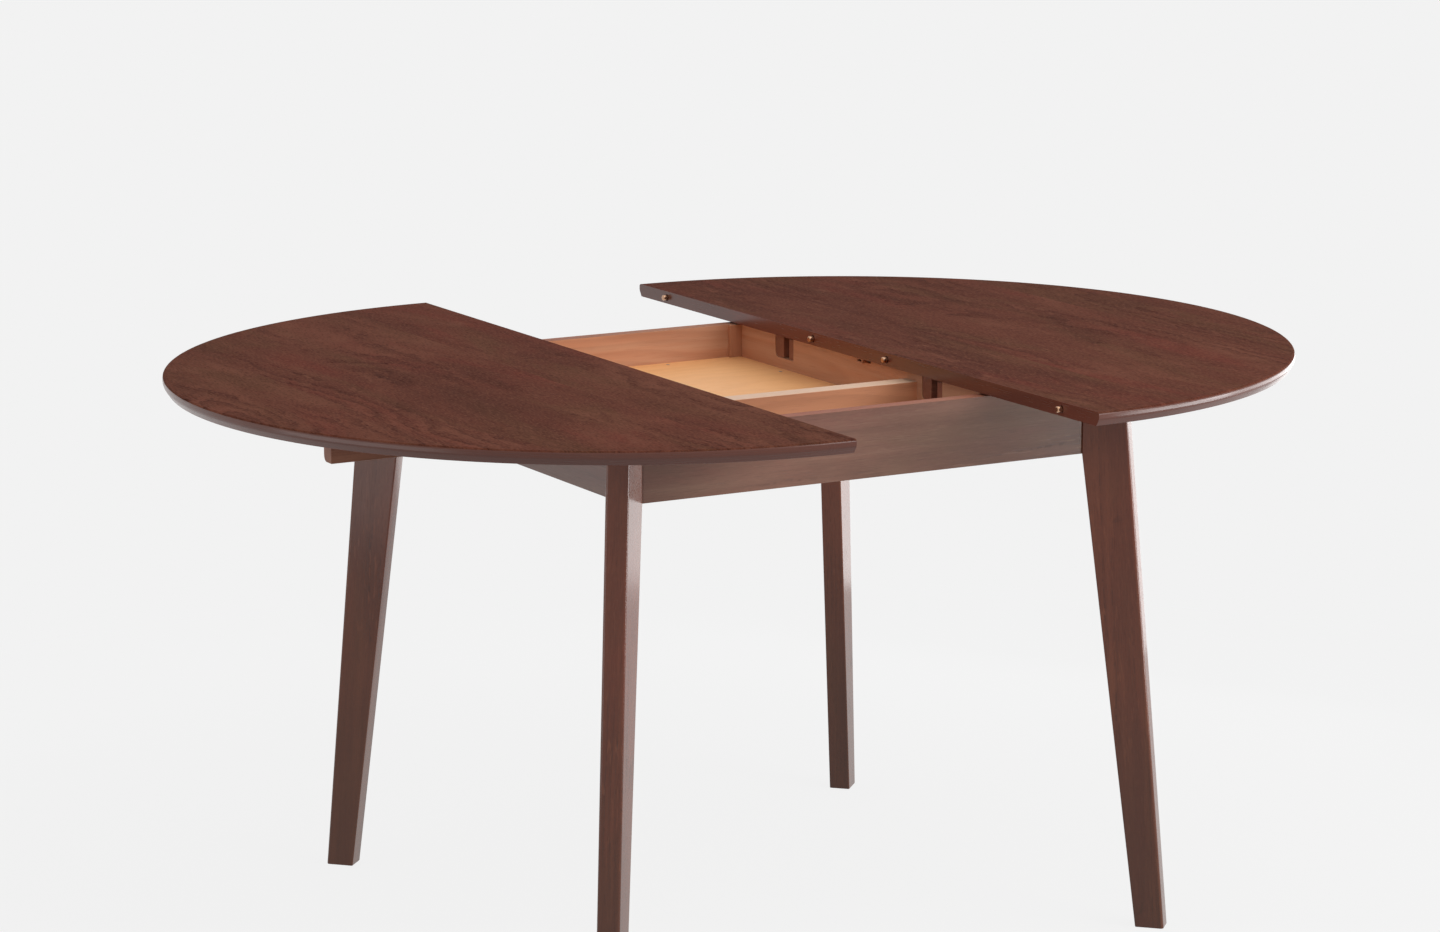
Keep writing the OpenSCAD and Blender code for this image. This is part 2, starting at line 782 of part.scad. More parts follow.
guide_bar(1, 1);  // guide_bar_right_back
guide_bar_screws();
apron_along_x(-1);  // apron_front
apron_along_x(1);  // apron_back
apron_along_y(-1);  // apron_left
apron_along_y(1);  // apron_right
cross_wall(-1);  // cross_wall_left
cross_wall(1);  // cross_wall_right
frame_dowels();
corner_block(-1, -1);  // corner_block_front_left
corner_block(1, -1);  // corner_block_front_right
corner_block(-1, 1);  // corner_block_back_left
corner_block(1, 1);  // corner_block_back_right
well_floor();
well_front_rail();
well_corner_strips();
cleat_box(-wall_x, cleat_w - wall_x, side_cleat_y0, side_cleat_y1);  // floor_cleat_left
cleat_box(wall_x - cleat_w, wall_x, side_cleat_y0, side_cleat_y1);  // floor_cleat_right
cleat_box(-wall_x, wall_x, board_y1, side_cleat_y0);  // floor_cleat_front
cleat_box(-wall_x, wall_x, side_cleat_y1, inner_y);  // floor_cleat_back
cleat_screws();
floor_screws();
leg(-1, -1);  // leg_front_left
leg(1, -1);  // leg_front_right
leg(-1, 1);  // leg_back_left
leg(1, 1);  // leg_back_right
leg_bolts();
leg_washers();
leg_inserts();
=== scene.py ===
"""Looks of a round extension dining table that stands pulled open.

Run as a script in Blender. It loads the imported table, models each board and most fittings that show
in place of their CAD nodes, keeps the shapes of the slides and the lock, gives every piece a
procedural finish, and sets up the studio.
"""

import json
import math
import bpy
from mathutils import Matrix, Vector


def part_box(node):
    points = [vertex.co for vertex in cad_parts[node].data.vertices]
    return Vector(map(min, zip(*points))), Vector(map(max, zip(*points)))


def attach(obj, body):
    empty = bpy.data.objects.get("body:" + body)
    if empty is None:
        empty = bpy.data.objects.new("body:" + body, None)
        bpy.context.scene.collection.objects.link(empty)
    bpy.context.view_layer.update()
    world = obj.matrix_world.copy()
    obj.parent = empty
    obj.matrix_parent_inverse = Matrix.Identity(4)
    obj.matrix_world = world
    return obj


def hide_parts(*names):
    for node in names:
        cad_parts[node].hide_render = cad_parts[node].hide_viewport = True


bl_info = {
    "name": "Round Extension Table",
    "version": (1, 0, 0),
    "blender": (4, 5, 0),
    "location": "3D View > Sidebar > Table",
    "description": "Models and finishes a round extension dining table over its packed frame",
    "category": "Object",
}

from contextlib import contextmanager

import bmesh
import bpy
from bpy.props import FloatProperty, FloatVectorProperty, IntProperty, PointerProperty
from mathutils import Color, Matrix, Vector

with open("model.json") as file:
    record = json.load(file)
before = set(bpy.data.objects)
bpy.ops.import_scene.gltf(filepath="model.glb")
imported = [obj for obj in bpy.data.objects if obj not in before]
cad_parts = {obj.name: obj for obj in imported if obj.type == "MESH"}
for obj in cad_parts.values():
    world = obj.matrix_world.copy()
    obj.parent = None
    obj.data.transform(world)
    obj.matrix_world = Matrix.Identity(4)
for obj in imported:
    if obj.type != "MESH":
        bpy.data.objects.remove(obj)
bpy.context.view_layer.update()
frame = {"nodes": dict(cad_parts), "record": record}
BODY_OF = {
    node: body
    for body, nodes in frame["record"]["behaviour"]["bodies"].items()
    for node in nodes
}

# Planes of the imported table, in metres

TOP_LOW, TOP_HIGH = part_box("top_right")
EDGE_X = TOP_LOW.x
TOP_R = TOP_HIGH.x - EDGE_X
TABLE_Z = TOP_HIGH.z
UNDER_Z = TOP_LOW.z
APRON_LOW, APRON_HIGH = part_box("apron_right")
APRON_Z0, APRON_Z1 = APRON_LOW.z, APRON_HIGH.z
INNER_X, FRAME_X = APRON_LOW.x, APRON_HIGH.x
FRONT_LOW, FRONT_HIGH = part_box("apron_front")
FRAME_Y, INNER_Y = -FRONT_LOW.y, -FRONT_HIGH.y
WALL_LOW, WALL_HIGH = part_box("cross_wall_right")
BAR_LOW, BAR_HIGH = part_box("guide_bar_right_back")
NOTCH_Z = BAR_LOW.z
NOTCH_W = 0.050
NOTCH_ROUND = 0.0083
NOTCH_STARTS = (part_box("guide_bar_right_front")[0].y, BAR_LOW.y)
PIN_Z = (TABLE_Z + UNDER_Z) / 2
PIN_YS = (-0.516, -0.097, 0.097, 0.516)
LOCK_Y = -0.024
BOLT_LEVELS = [APRON_Z0 + (APRON_Z1 - APRON_Z0) * share for share in (0.27, 0.73)]

# The table's corners, each with the mirroring that takes a piece there from the back right

CORNERS = (
    ("back_right", (1, 1, 1)), ("back_left", (-1, 1, 1)),
    ("front_right", (1, -1, 1)), ("front_left", (-1, -1, 1)))

# Sizes of bores and fittings, in metres

PIN_R = 0.004
PIN_BORE_R, PIN_BORE_DEPTH = 0.0046, 0.0225
SLEEVE_R, SLEEVE_WALL, SLEEVE_DEPTH = 0.0054, 0.0013, 0.014
SLEEVE_BORE_R, SLEEVE_BORE_DEPTH = 0.0055, 0.016
COUNTERBORE_R, COUNTERBORE_DEPTH = 0.0041, 0.0081
RUNNER_SCREW_INSET = 0.03
LOCK_NOTCH_HALF, LOCK_NOTCH_GAP = 0.014, 0.0005
STRIP_W = 0.019
WASHER = 0.0016
BOLT_R, BOLT_BORE_R, BOLT_REACH = 0.004, 0.0045, 0.042
BOLT_HEAD_R, BOLT_HEAD_H = 0.0075, 0.0053
BOLT_DOME_R, BOLT_DOME_FOOT_R = 0.0066, 0.0120

# Roundings of the smaller arrises, in metres

KNEE_ROUND, UNDER_ARRIS, STRAIGHT_ARRIS = 0.002, 0.0008, 0.0007
BORE_ARRIS, PIN_TIP_ROUND = 0.0004, 0.0015
SAWN_ARRIS, WALL_ARRIS, RAIL_ARRIS = 0.0008, 0.0009, 0.0012
PANEL_ARRIS, STRIP_ARRIS, CLEAT_ARRIS = 0.0004, 0.0006, 0.0007
LEG_END_ARRIS = 0.0012

# How far a cutter reaches past what it cuts, in metres

CLEAR = 0.01

# Countersunk heads: radius, height and shank radius, in metres

FLOOR_HEAD = (0.0028, 0.0015, 0.0015)
WOOD_HEAD = (0.004, 0.0024, 0.002)

# Screws: their lengths in metres, and the recess's reach and depth as shares of the head's

RUNNER_SCREW_L, FLOOR_SCREW_L, CLEAT_SCREW_L = 0.040, 0.015, 0.038
RECESS_REACH, RECESS_DEPTH = 0.62, 0.55

# Attribute that holds each point's place in its own board

GRAIN = "grain"


def size(name, description, default, least, most):
    """A size property, in metres."""
    return FloatProperty(
        name=name, description=description, default=default, min=least, max=most, unit="LENGTH")


class TableShapes(bpy.types.PropertyGroup):
    """Sizes that finish the boards and fittings."""

    edge_undercut: size(
        "Edge Undercut", "How far the round edge is cut back below", 0.006, 0.0, 0.012)
    edge_undercut_height: size(
        "Undercut Height", "Height of the cut back part of the round edge", 0.009, 0.003, 0.015)
    edge_arris: size(
        "Edge Arris", "Rounding along the top of the round edge", 0.0038, 0.0005, 0.005)
    edge_segments: IntProperty(
        name="Edge Segments", description="Straight parts of a full round edge",
        default=288, min=96, max=720)
    board_arris: size(
        "Board Arris", "Rounding along the arrises of aprons and rails", 0.001, 0.0002, 0.003)
    leg_arris: size(
        "Leg Arris", "Rounding along a leg's outer arrises", 0.0042, 0.001, 0.008)
    leg_inner_arris: size(
        "Leg Inner Arris", "Rounding along a leg's inner arrises", 0.0018, 0.001, 0.008)
    leg_thickness: size(
        "Leg Thickness", "Thickness of a leg's board", 0.030, 0.02, 0.04)
    leg_splay: size(
        "Leg Splay", "How far a leg's inner edge runs out down to the floor", 0.0818, 0.02, 0.12)
    leg_foot: size(
        "Leg Foot", "Width of a leg at the floor", 0.0384, 0.02, 0.06)
    leg_knee: size(
        "Leg Knee", "Width of a leg just under the aprons", 0.0637, 0.03, 0.09)
    joint_arris: size(
        "Joint Arris", "Rounding that shows as a groove where an apron meets a leg", 0.0028, 0.0005, 0.004)
    runner_arris: size(
        "Runner Arris", "Rounding along a runner's lower outer arris", 0.008, 0.001, 0.01)
    screw_slot: size(
        "Screw Slot", "Width of the arms of a screw's cross recess", 0.0009, 0.0004, 0.002)


def shade(name, description, red, green, blue):
    """A colour property, given as it shows on a screen, 0 to 255."""
    return FloatVectorProperty(
        name=name, description=description, subtype="COLOR_GAMMA", size=3, min=0.0, max=1.0,
        default=(red / 255, green / 255, blue / 255))


class TableColours(bpy.types.PropertyGroup):
    """Colours of the finishes."""

    stain: shade("Stain", "Middle tone of the stained tops", 98, 56, 44)
    stain_light: shade("Light Stain", "Light figure in the stained tops", 121, 76, 60)
    stain_dark: shade("Dark Stain", "Dark figure in the stained tops", 74, 40, 31)
    stain_red: shade("Red Stain", "Where the stain turns redder", 106, 54, 44)
    stain_olive: shade("Olive Stain", "Where the stain turns browner", 94, 60, 44)
    pores: shade("Pores", "Stain gathered in the open pores", 54, 29, 24)
    leg: shade("Leg Stain", "Middle tone of the legs", 124, 66, 46)
    # Painted shade: the dark tone that the legs are mixed towards near the floor, where less light reaches
    # them
    foot: shade("Painted Foot Shade", "Tone that the legs take on down to the floor", 68, 48, 36)
    runner: shade("Runner Stain", "Middle tone of the runners and the fixed bars", 142, 90, 70)
    apron: shade("Apron Stain", "Middle tone of the aprons", 125, 88, 73)
    # Painted light: a lighter tone on the aprons' top faces for the light that falls on them from above
    apron_top_painted_light: shade("Apron Top Painted Light", "Tone of the aprons' top faces", 156, 101, 80)
    rim: shade("Edge Stain", "Middle tone of the round edge", 97, 52, 40)
    straight: shade("Straight Edge Stain", "Middle tone of the straight edges", 110, 58, 44)
    pale: shade("Pale Wood", "Middle tone of the cross walls, blocks and cleats", 198, 142, 110)
    pale_light: shade("Light Pale Wood", "Light figure in the pale wood", 204, 160, 130)
    pale_dark: shade("Dark Pale Wood", "Dark figure in the pale wood", 158, 102, 74)
    rail: shade("Rail", "Middle tone of the well's front rail", 216, 150, 112)
    # Painted light: a lighter tone on the front rail's top face for the light that falls on it from above
    rail_top_painted_light: shade("Rail Top Painted Light", "Tone of the front rail's top face", 218, 182, 154)
    strip: shade("Corner Strip", "Middle tone of the strips in the well's corners", 186, 132, 102)
    birch: shade("Plywood", "Face of the floor panel", 242, 180, 121)
    birch_dark: shade("Dark Plywood", "Figure in the floor panel", 214, 150, 98)
    zinc: shade("Zinc", "Plated steel of slides, bolts and the lock's plates", 186, 187, 190)
    dark_steel: shade("Dark Steel", "Dark plated screws", 84, 82, 81)
    bronze: shade("Bronzed Steel", "The lock's keeper", 168, 112, 82)
    brass: shade("Brass", "Locating pins and sleeves", 188, 148, 120)
    backdrop: shade("Backdrop", "The pale floor and surround, as they are seen", 242, 242, 242)
    ground: shade("Ground", "The floor where light falls on it", 156, 156, 156)


def brightness(name, description, default, most):
    """A property for how bright a light is."""
    return FloatProperty(name=name, description=description, default=default, min=0.0, max=most)


class TableStudio(bpy.types.PropertyGroup):
    """The plain studio around the table."""

    surround: brightness(
        "Surround", "Strength of the even light from all round", 0.56, 2.0)
    key_glow: brightness(
        "Key", "Brightness of the large soft light at the front right", 4.6, 50.0)
    overhead_glow: brightness(
        "Overhead", "Brightness of the soft light over the table", 1.0, 50.0)
    panel_glow: brightness(
        "Panels", "Brightness of the low soft panels that the glossy sides reflect", 1.3, 20.0)
    shadow_share: FloatProperty(
        name="Floor Shadow", description="How much of the object's shadow the floor shows",
        default=0.14, min=0.0, max=1.0, subtype="FACTOR")


# Modelling helpers

def clear_selection():
    """Deselects everything, because an operator acts on all that is selected."""
    bpy.ops.object.select_all(action="DESELECT")


def make_active(piece):
    """Selects one piece alone and makes it the active one."""
    clear_selection()
    piece.select_set(True)
    bpy.context.view_layer.objects.active = piece


def settle_place(name):
    """Names the new active piece and moves its place, turn and size into its mesh."""
    bpy.ops.object.transform_apply(location=True, rotation=True, scale=True)
    piece = bpy.context.object
    piece.name = name
    piece.data.name = name
    return piece


def add_block(name, low, high):
    """Adds a block between two corners."""
    low, high = Vector(low), Vector(high)
    clear_selection()
    bpy.ops.mesh.primitive_cube_add(size=1, location=(low + high) / 2, scale=high - low)
    return settle_place(name)


def add_rod(name, start, end, radius, sides=32, tip_radius=None):
    """Adds a round rod between two points, or a cone's frustum if its tip has another radius."""
    start, end = Vector(start), Vector(end)
    turn = (end - start).to_track_quat("Z", "Y").to_euler()
    clear_selection()
    bpy.ops.mesh.primitive_cone_add(
        vertices=sides, radius1=radius, radius2=radius if tip_radius is None else tip_radius,
        depth=(end - start).length, location=(start + end) / 2, rotation=turn)
    return settle_place(name)


@contextmanager
def editing(piece):
    """Edit mode on one piece, with nothing selected."""
    make_active(piece)
    bpy.ops.object.mode_set(mode="EDIT")
    bpy.ops.mesh.select_all(action="DESELECT")
    yield
    bpy.ops.object.mode_set(mode="OBJECT")


def pick(piece, kind, test):
    """Selects the vertices, edges or faces that pass a test, in edit mode, and counts them."""
    bpy.ops.mesh.select_mode(type=kind)
    bpy.ops.mesh.select_all(action="DESELECT")
    mesh = bmesh.from_edit_mesh(piece.data)
    mesh.normal_update()
    parts = {"VERT": mesh.verts, "EDGE": mesh.edges, "FACE": mesh.faces}[kind]
    chosen = [part for part in parts if test(part)]
    for part in chosen:
        part.select_set(True)
    mesh.select_flush_mode()
    bmesh.update_edit_mesh(piece.data)
    return len(chosen)


def middle(edge):
    """The middle of an edge."""
    return (edge.verts[0].co + edge.verts[1].co) / 2


def near(value, level):
    """Whether a coordinate lies at a level, to a hundredth of a millimetre."""
    return abs(value - level) < 1e-5


def sharp(edge, angle=50):
    """Whether an edge is an outside corner, sharper than an angle in degrees."""
    return len(edge.link_faces) == 2 and edge.calc_face_angle_signed(0) > math.radians(angle)


def upright(edge):
    """Whether an edge stands up, and is longer than 50 mm."""
    return abs((edge.verts[0].co - edge.verts[1].co).z) > 0.05


def soften(piece, width, segments=2, test=sharp):
    """Rounds the edges that pass a test."""
    with editing(piece):
        if pick(piece, "EDGE", test) == 0:
            raise RuntimeError(f"{piece.name} has no edge to round")
        bpy.ops.mesh.bevel(offset=width, segments=segments, affect="EDGES", clamp_overlap=True)


def slice_off(piece, point, normal):
    """Cuts off what lies beyond a plane on the side that its normal points to, and closes the cut."""
    with editing(piece):
        bpy.ops.mesh.select_all(action="SELECT")
        bpy.ops.mesh.bisect(plane_co=point, plane_no=normal, use_fill=True, clear_outer=True)


def join(pieces, name):
    """Joins pieces into one."""
    make_active(pieces[0])
    for piece in pieces:
        piece.select_set(True)
    if len(pieces) > 1:
        bpy.ops.object.join()
    pieces[0].name = name
    pieces[0].data.name = name
    return pieces[0]


def carve(piece, cutters, operation="DIFFERENCE"):
    """Takes cutters out of a piece, or adds them to it, and removes them."""
    cutter = join(cutters, "cutter")
    modifier = piece.modifiers.new("carve", "BOOLEAN")
    modifier.operation = operation
    modifier.solver = "EXACT"
    modifier.object = cutter
    make_active(piece)
    bpy.ops.object.modifier_apply(modifier=modifier.name)
    bpy.data.objects.remove(cutter)


def copy_piece(piece, name, move=(0, 0, 0), mirror=(1, 1, 1)):
    """A copy with its own mesh, mirrored about the table's middle planes and then moved."""
    clear_selection()
    twin = piece.copy()
    twin.data = piece.data.copy()
    bpy.context.scene.collection.objects.link(twin)
    twin.scale = mirror
    twin.location = move
    make_active(twin)
    twin = settle_place(name)
    if mirror[0] * mirror[1] * mirror[2] < 0:
        with editing(twin):
            bpy.ops.mesh.select_all(action="SELECT")
            bpy.ops.mesh.normals_make_consistent(inside=False)
    return twin


def mark_grain(piece, along, across, cut=(0.0, 0.0, 0.08)):
    """Stores each point's place in its board: along the grain, across it and into its depth.

    The cut says where in the log the board comes from."""
    along, across = Vector(along).normalized(), Vector(across).normalized()
    depth = along.cross(across)
    points = [vertex.co for vertex in piece.data.vertices]
    centre = sum(points, Vector()) / len(points)
    old = piece.data.attributes.get(GRAIN)
    if old:
        piece.data.attributes.remove(old)
    places = piece.data.attributes.new(GRAIN, "FLOAT_VECTOR", "POINT")
    for point, item in zip(points, places.data):
        away = point - centre
        item.vector = (away.dot(along) + cut[0], away.dot(across) + cut[1], away.dot(depth) + cut[2])


def smooth(piece, angle=35):
    """Shades the roundings smooth and keeps the flats flat."""
    make_active(piece)
    bpy.ops.object.shade_smooth_by_angle(angle=math.radians(angle))
    modifier = piece.modifiers.new("flats", "WEIGHTED_NORMAL")
    modifier.keep_sharp = True
    bpy.ops.object.modifier_apply(modifier=modifier.name)


def put(piece, nodes, slot, *finishes):
    """Gives a piece its finishes and puts it in place of its CAD nodes, on their body."""
    for finish in finishes:
        piece.data.materials.append(bpy.data.materials[finish])
    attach(piece, BODY_OF[nodes[0]])
    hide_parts(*nodes)


def finish_board(piece, along, across, cut, node, slot, *finishes):
    """Smooths a board, marks its grain and puts it in place of its CAD node."""
    smooth(piece)
    mark_grain(piece, along, across, cut)
    put(piece, [node], slot, *finishes)


def keep(nodes, finish):
    """Keeps CAD nodes as they are and gives them a finish."""
    for node in nodes:
        frame["nodes"][node].data.materials.clear()
        frame["nodes"][node].data.materials.append(bpy.data.materials[finish])


# Finishes

class Signal:
    """A value that varies over a surface. Arithmetic on it adds Math nodes."""

    def __init__(self, finish, socket):
        self.finish = finish
        self.socket = socket

    def __add__(self, other):
        return self.finish.math("ADD", self, other)

    def __radd__(self, other):
        return self.finish.math("ADD", other, self)

    def __sub__(self, other):
        return self.finish.math("SUBTRACT", self, other)

    def __rsub__(self, other):
        return self.finish.math("SUBTRACT", other, self)

    def __mul__(self, other):
        return self.finish.math("MULTIPLY", self, other)

    def __rmul__(self, other):
        return self.finish.math("MULTIPLY", other, self)

    def __truediv__(self, other):
        return self.finish.math("DIVIDE", self, other)

    def __pow__(self, other):
        return self.finish.math("POWER", self, other)


def paint(colour):
    """A screen colour as the linear colour that a node takes."""
    return (*Color(colour).from_srgb_to_scene_linear(), 1.0)


class Finish:
    """A node tree in the making, with the recipes that the table's finishes share."""

    def __init__(self, tree):
        self.tree = tree
        self.tree.nodes.clear()

    def add(self, kind, settings=None, values=None, output=0):
        """Adds a node, gives it its settings, then its values or links, and returns an output."""
        node = self.tree.nodes.new(kind)
        for name, value in (settings or {}).items():
            setattr(node, name, value)
        for key, value in (values or {}).items():
            socket = node.inputs[key] if isinstance(key, int) else next(
                s for s in node.inputs if key in (s.identifier, s.name))
            if isinstance(value, Signal):
                self.tree.links.new(value.socket, socket)
            else:
                socket.default_value = value
        if isinstance(output, tuple):
            return [Signal(self, node.outputs[key]) for key in output]
        return Signal(self, node.outputs[output]) if len(node.outputs) else node

    def math(self, operation, first, second=0.0):
        return self.add("ShaderNodeMath", {"operation": operation}, {0: first, 1: second})

    def place(self):
        """The point's place on its object."""
        return self.add("ShaderNodeTexCoord", output="Object")

    def board(self):
        """The point's place in its own board."""
        return self.add("ShaderNodeAttribute", {"attribute_name": GRAIN}, output="Vector")

    def split(self, vector):
        return self.add("ShaderNodeSeparateXYZ", values={0: vector}, output=(0, 1, 2))

    def join(self, x, y, z):
        return self.add("ShaderNodeCombineXYZ", values={0: x, 1: y, 2: z})

    def stretch(self, vector, amounts):
        return self.add("ShaderNodeVectorMath", {"operation": "MULTIPLY"}, {0: vector, 1: amounts})

    def noise(self, vector, amounts, detail=2.0, roughness=0.5, swirl=0.0):
        """Noise whose cells are so many to the metre along each axis."""
        return self.add("ShaderNodeTexNoise", {"noise_dimensions": "3D"}, {
            "Vector": self.stretch(vector, amounts), "Scale": 1.0, "Detail": detail, "Roughness": roughness,
            "Distortion": swirl})

    def ramp(self, value, low, high, start=0.0, end=1.0):
        """Maps a value from low..high to start..end, smoothly and no further."""
        return self.add("ShaderNodeMapRange", {"interpolation_type": "SMOOTHSTEP"}, {
            "Value": value, "From Min": low, "From Max": high, "To Min": start, "To Max": end})

    def mix(self, factor, first, second):
        """Mixes two colours."""
        return self.add("ShaderNodeMix", {"data_type": "RGBA"}, {
            "Factor_Float": factor, "A_Color": first, "B_Color": second}, output=2)

    def coats(self, body, *layers):
        """Lays colours over a first one, each by its own share."""
        for share, colour in layers:
            body = self.mix(share, body, colour)
        return body

    def bump(self, height, depth):
        """Relief, so many metres deep."""
        return self.add("ShaderNodeBump", values={"Strength": 1.0, "Distance": depth, "Height": height})

    def surface(self, **values):
        """The surface itself, with its own sockets named in plain letters."""
        named = {
            name.replace("_", " ").title().replace("Ior", "IOR"): value for name, value in values.items()}
        shader = self.add("ShaderNodeBsdfPrincipled", values=named)
        self.add("ShaderNodeOutputMaterial", values={"Surface": shader})


def new_finish(name):
    """Starts a named material."""
    if name in bpy.data.materials:
        raise RuntimeError(f"there is a material named {name} already")
    material = bpy.data.materials.new(name)
    material.use_nodes = True
    return Finish(material.node_tree)


def ring_lines(finish, heart, ring):
    """Growth rings as a saw, slow to darken and quick to lighten, and the thin lines between them."""
    year = finish.math("FRACT", heart / ring)
    still = 1.0 - finish.ramp(year, 0.84, 1.0)
    return finish.ramp(year, 0.15, 0.80) * still, finish.ramp(year, 0.76, 0.86) * still


def board_figure(finish, board, ring=0.0055):
    """Rings, streaks, pores, clouds and flecks of a solid board."""
    _, across, depth = finish.split(board)
    sway = finish.noise(board, (1.3, 5.0, 5.0), 2.0)
    waver = finish.noise(board, (5.0, 38.0, 38.0), 2.5)
    heart = (across * across + depth * depth) ** 0.5 + sway * 0.045 + waver * 0.004
    rings, lines = ring_lines(finish, heart, ring)
    return {
        "rings": rings, "lines": lines, "spot": board,
        "streaks": finish.noise(board, (2.4, 60.0, 60.0), 4.0, 0.55),
        "pores": finish.noise(board, (30.0, 900.0, 900.0), 1.0),
        "clouds": finish.noise(board, (2.2, 9.0, 9.0), 3.0, 0.55, 0.4),
        "flecks": finish.noise(board, (34.0, 260.0, 260.0), 1.0)}


def wide_figure(finish, board):
    """The same with wide rings, as on the flat sawn aprons."""
    return board_figure(finish, board, 0.0125)


def veneer_figure(finish, board, leaf=0.31, ring=0.019):
    """The same for sliced veneer, laid in leaves that each show the log's flamed middle."""
    along, across, depth = finish.split(board)
    sheet = finish.math("FLOOR", across / leaf)
    local = across - (sheet + 0.5) * leaf
    spot = finish.join(along + sheet * 3.7, across, depth)
    slant = finish.join(along + across * 0.55 + sheet * 3.7, across - along * 0.06, depth)
    sway = finish.noise(spot, (2.1, 4.5, 4.5), 2.0)
    waver = finish.noise(spot, (9.0, 17.0, 17.0), 4.0, 0.62)
    rise = 0.020 + sway * 0.19
    heart = (local * local + rise * rise) ** 0.5 + waver * 0.044
    rings, lines = ring_lines(finish, heart, ring)
    broad = finish.noise(spot, (0.9, 2.6, 2.6), 1.0)
    return {
        "rings": rings, "lines": lines, "spot": spot,
        "streaks": finish.noise(slant, (9.0, 38.0, 38.0), 6.0, 0.70, 0.6),
        "pores": finish.noise(spot, (44.0, 430.0, 430.0), 2.0, 0.6),
        "clouds": finish.noise(slant, (3.0, 8.0, 8.0), 5.0, 0.60, 0.8) * 0.66 + broad * 0.34,
        "flecks": finish.noise(slant, (20.0, 74.0, 74.0), 4.0, 0.6, 0.5)}


def make_stained(name, colours, figure, middle_tone, contrast, foot=0.0, **surface):
    """Open-pored wood under stain and lacquer. Below the height foot, painted shade darkens it towards the
    floor.
    """
    finish = new_finish(name)
    wood = figure(finish, finish.board())
    spot, rings, streaks, clouds = wood["spot"], wood["rings"], wood["streaks"], wood["clouds"]
    tone = [part / base for part, base in zip(middle_tone, colours.stain)]
    light, dark, red, olive, pore = (
        paint([min(1.0, part * by) for part, by in zip(colour, tone)])
        for colour in (
            colours.stain_light, colours.stain_dark, colours.stain_red, colours.stain_olive, colours.pores))
    drift = finish.noise(spot, (2.0, 9.0, 9.0), 5.0, 0.66, 0.6)
    drift_share = min(contrast * 1.3, 0.8)
    clear = finish.ramp(finish.noise(spot, (2.6, 11.0, 11.0), 3.0), 0.46, 0.60)
    gather = finish.ramp(wood["pores"], 0.56, 0.68) * (0.35 + rings * clear * 0.65)
    broken = finish.ramp(finish.noise(spot, (110.0, 60.0, 60.0), 0.0), 0.50, 0.58)
    dashes = wood["lines"] * clear * broken
    flame = finish.ramp(wood["flecks"], 0.60, 0.72) * (0.25 + clear * 0.75)
    specks = finish.noise(spot, (120.0, 520.0, 520.0), 1.0)
    speck_share = max(contrast - 0.35, 0.02) * 1.85
    body = finish.coats(
        paint(middle_tone),
        (finish.ramp(drift, 0.50, 0.66) * drift_share, red),
        (finish.ramp(drift, 0.50, 0.34) * drift_share, olive),
        (finish.ramp(clouds, 0.48, 0.66) * contrast, light),
        (finish.ramp(clouds, 0.50, 0.32) * contrast, dark),
        (finish.ramp(streaks, 0.54, 0.72) * contrast * 0.8, light),
        (finish.ramp(streaks, 0.47, 0.30) * contrast * 0.8, dark),
        (rings * (0.08 + clear * 0.92) * contrast * 0.85, dark),
        (gather * min(contrast * 2.0, 0.62), pore),
        (dashes * min(contrast * 1.6, 0.50), pore),
        (flame * (0.15 + contrast * 0.75), light),
        (finish.ramp(specks, 0.54, 0.70) * speck_share, pore),
        (finish.ramp(specks, 0.46, 0.30) * speck_share, light))
    # Painted shade: below the height foot the colour is mixed towards the dark foot tone, darker nearer the
    # floor
    if foot:
        level = finish.split(finish.place())[2]
        body = finish.mix(finish.ramp(level, foot, 0.0) * 0.6, body, paint(colours.foot))
    height = streaks * 0.25 - gather
    roughness = surface.pop("roughness")
    finish.surface(
        base_color=body, roughness=roughness + gather * 0.16 + clouds * 0.06 - 0.03,
        normal=finish.bump(height, surface.pop("relief")), **surface)


def make_pale(name, light, middle_tone, dark, figure, contrast=1.0):
    """Planed pale wood, clear sealed."""
    finish = new_finish(name)
    wood = figure(finish, finish.board())
    line = finish.ramp(wood["pores"], 0.58, 0.72)
    body = finish.coats(
        paint(middle_tone),
        (finish.ramp(wood["streaks"], 0.35, 0.65) * 0.8, paint(light)),
        (wood["rings"] * 0.20 * contrast, paint(dark)),
        (finish.ramp(wood["clouds"], 0.46, 0.74) * 0.45 * contrast, paint(dark)),
        (line * 0.20, paint(dark)))
    finish.surface(
        base_color=body, roughness=0.42 + line * 0.12 + wood["clouds"] * 0.08,
        normal=finish.bump(wood["streaks"] * 0.3 - line, 0.0001), ior=1.35)


def make_metal(name, colour, wear, roughness, metallic=1.0):
    """Plated or turned metal with fine marks from handling. Worn places keep a share of its colour."""
    finish = new_finish(name)
    worn = [part * wear for part in colour]
    place = finish.place()
    cloud = finish.noise(place, (55.0, 55.0, 55.0), 3.0)
    lines = finish.noise(place, (40.0, 1600.0, 1600.0), 2.0)
    body = finish.mix(finish.ramp(cloud, 0.35, 0.7) * 0.6, paint(colour), paint(worn))
    finish.surface(
        base_color=body, metallic=metallic, roughness=roughness + cloud * 0.14 + lines * 0.08 - 0.08,
        normal=finish.bump(lines, 0.00002))


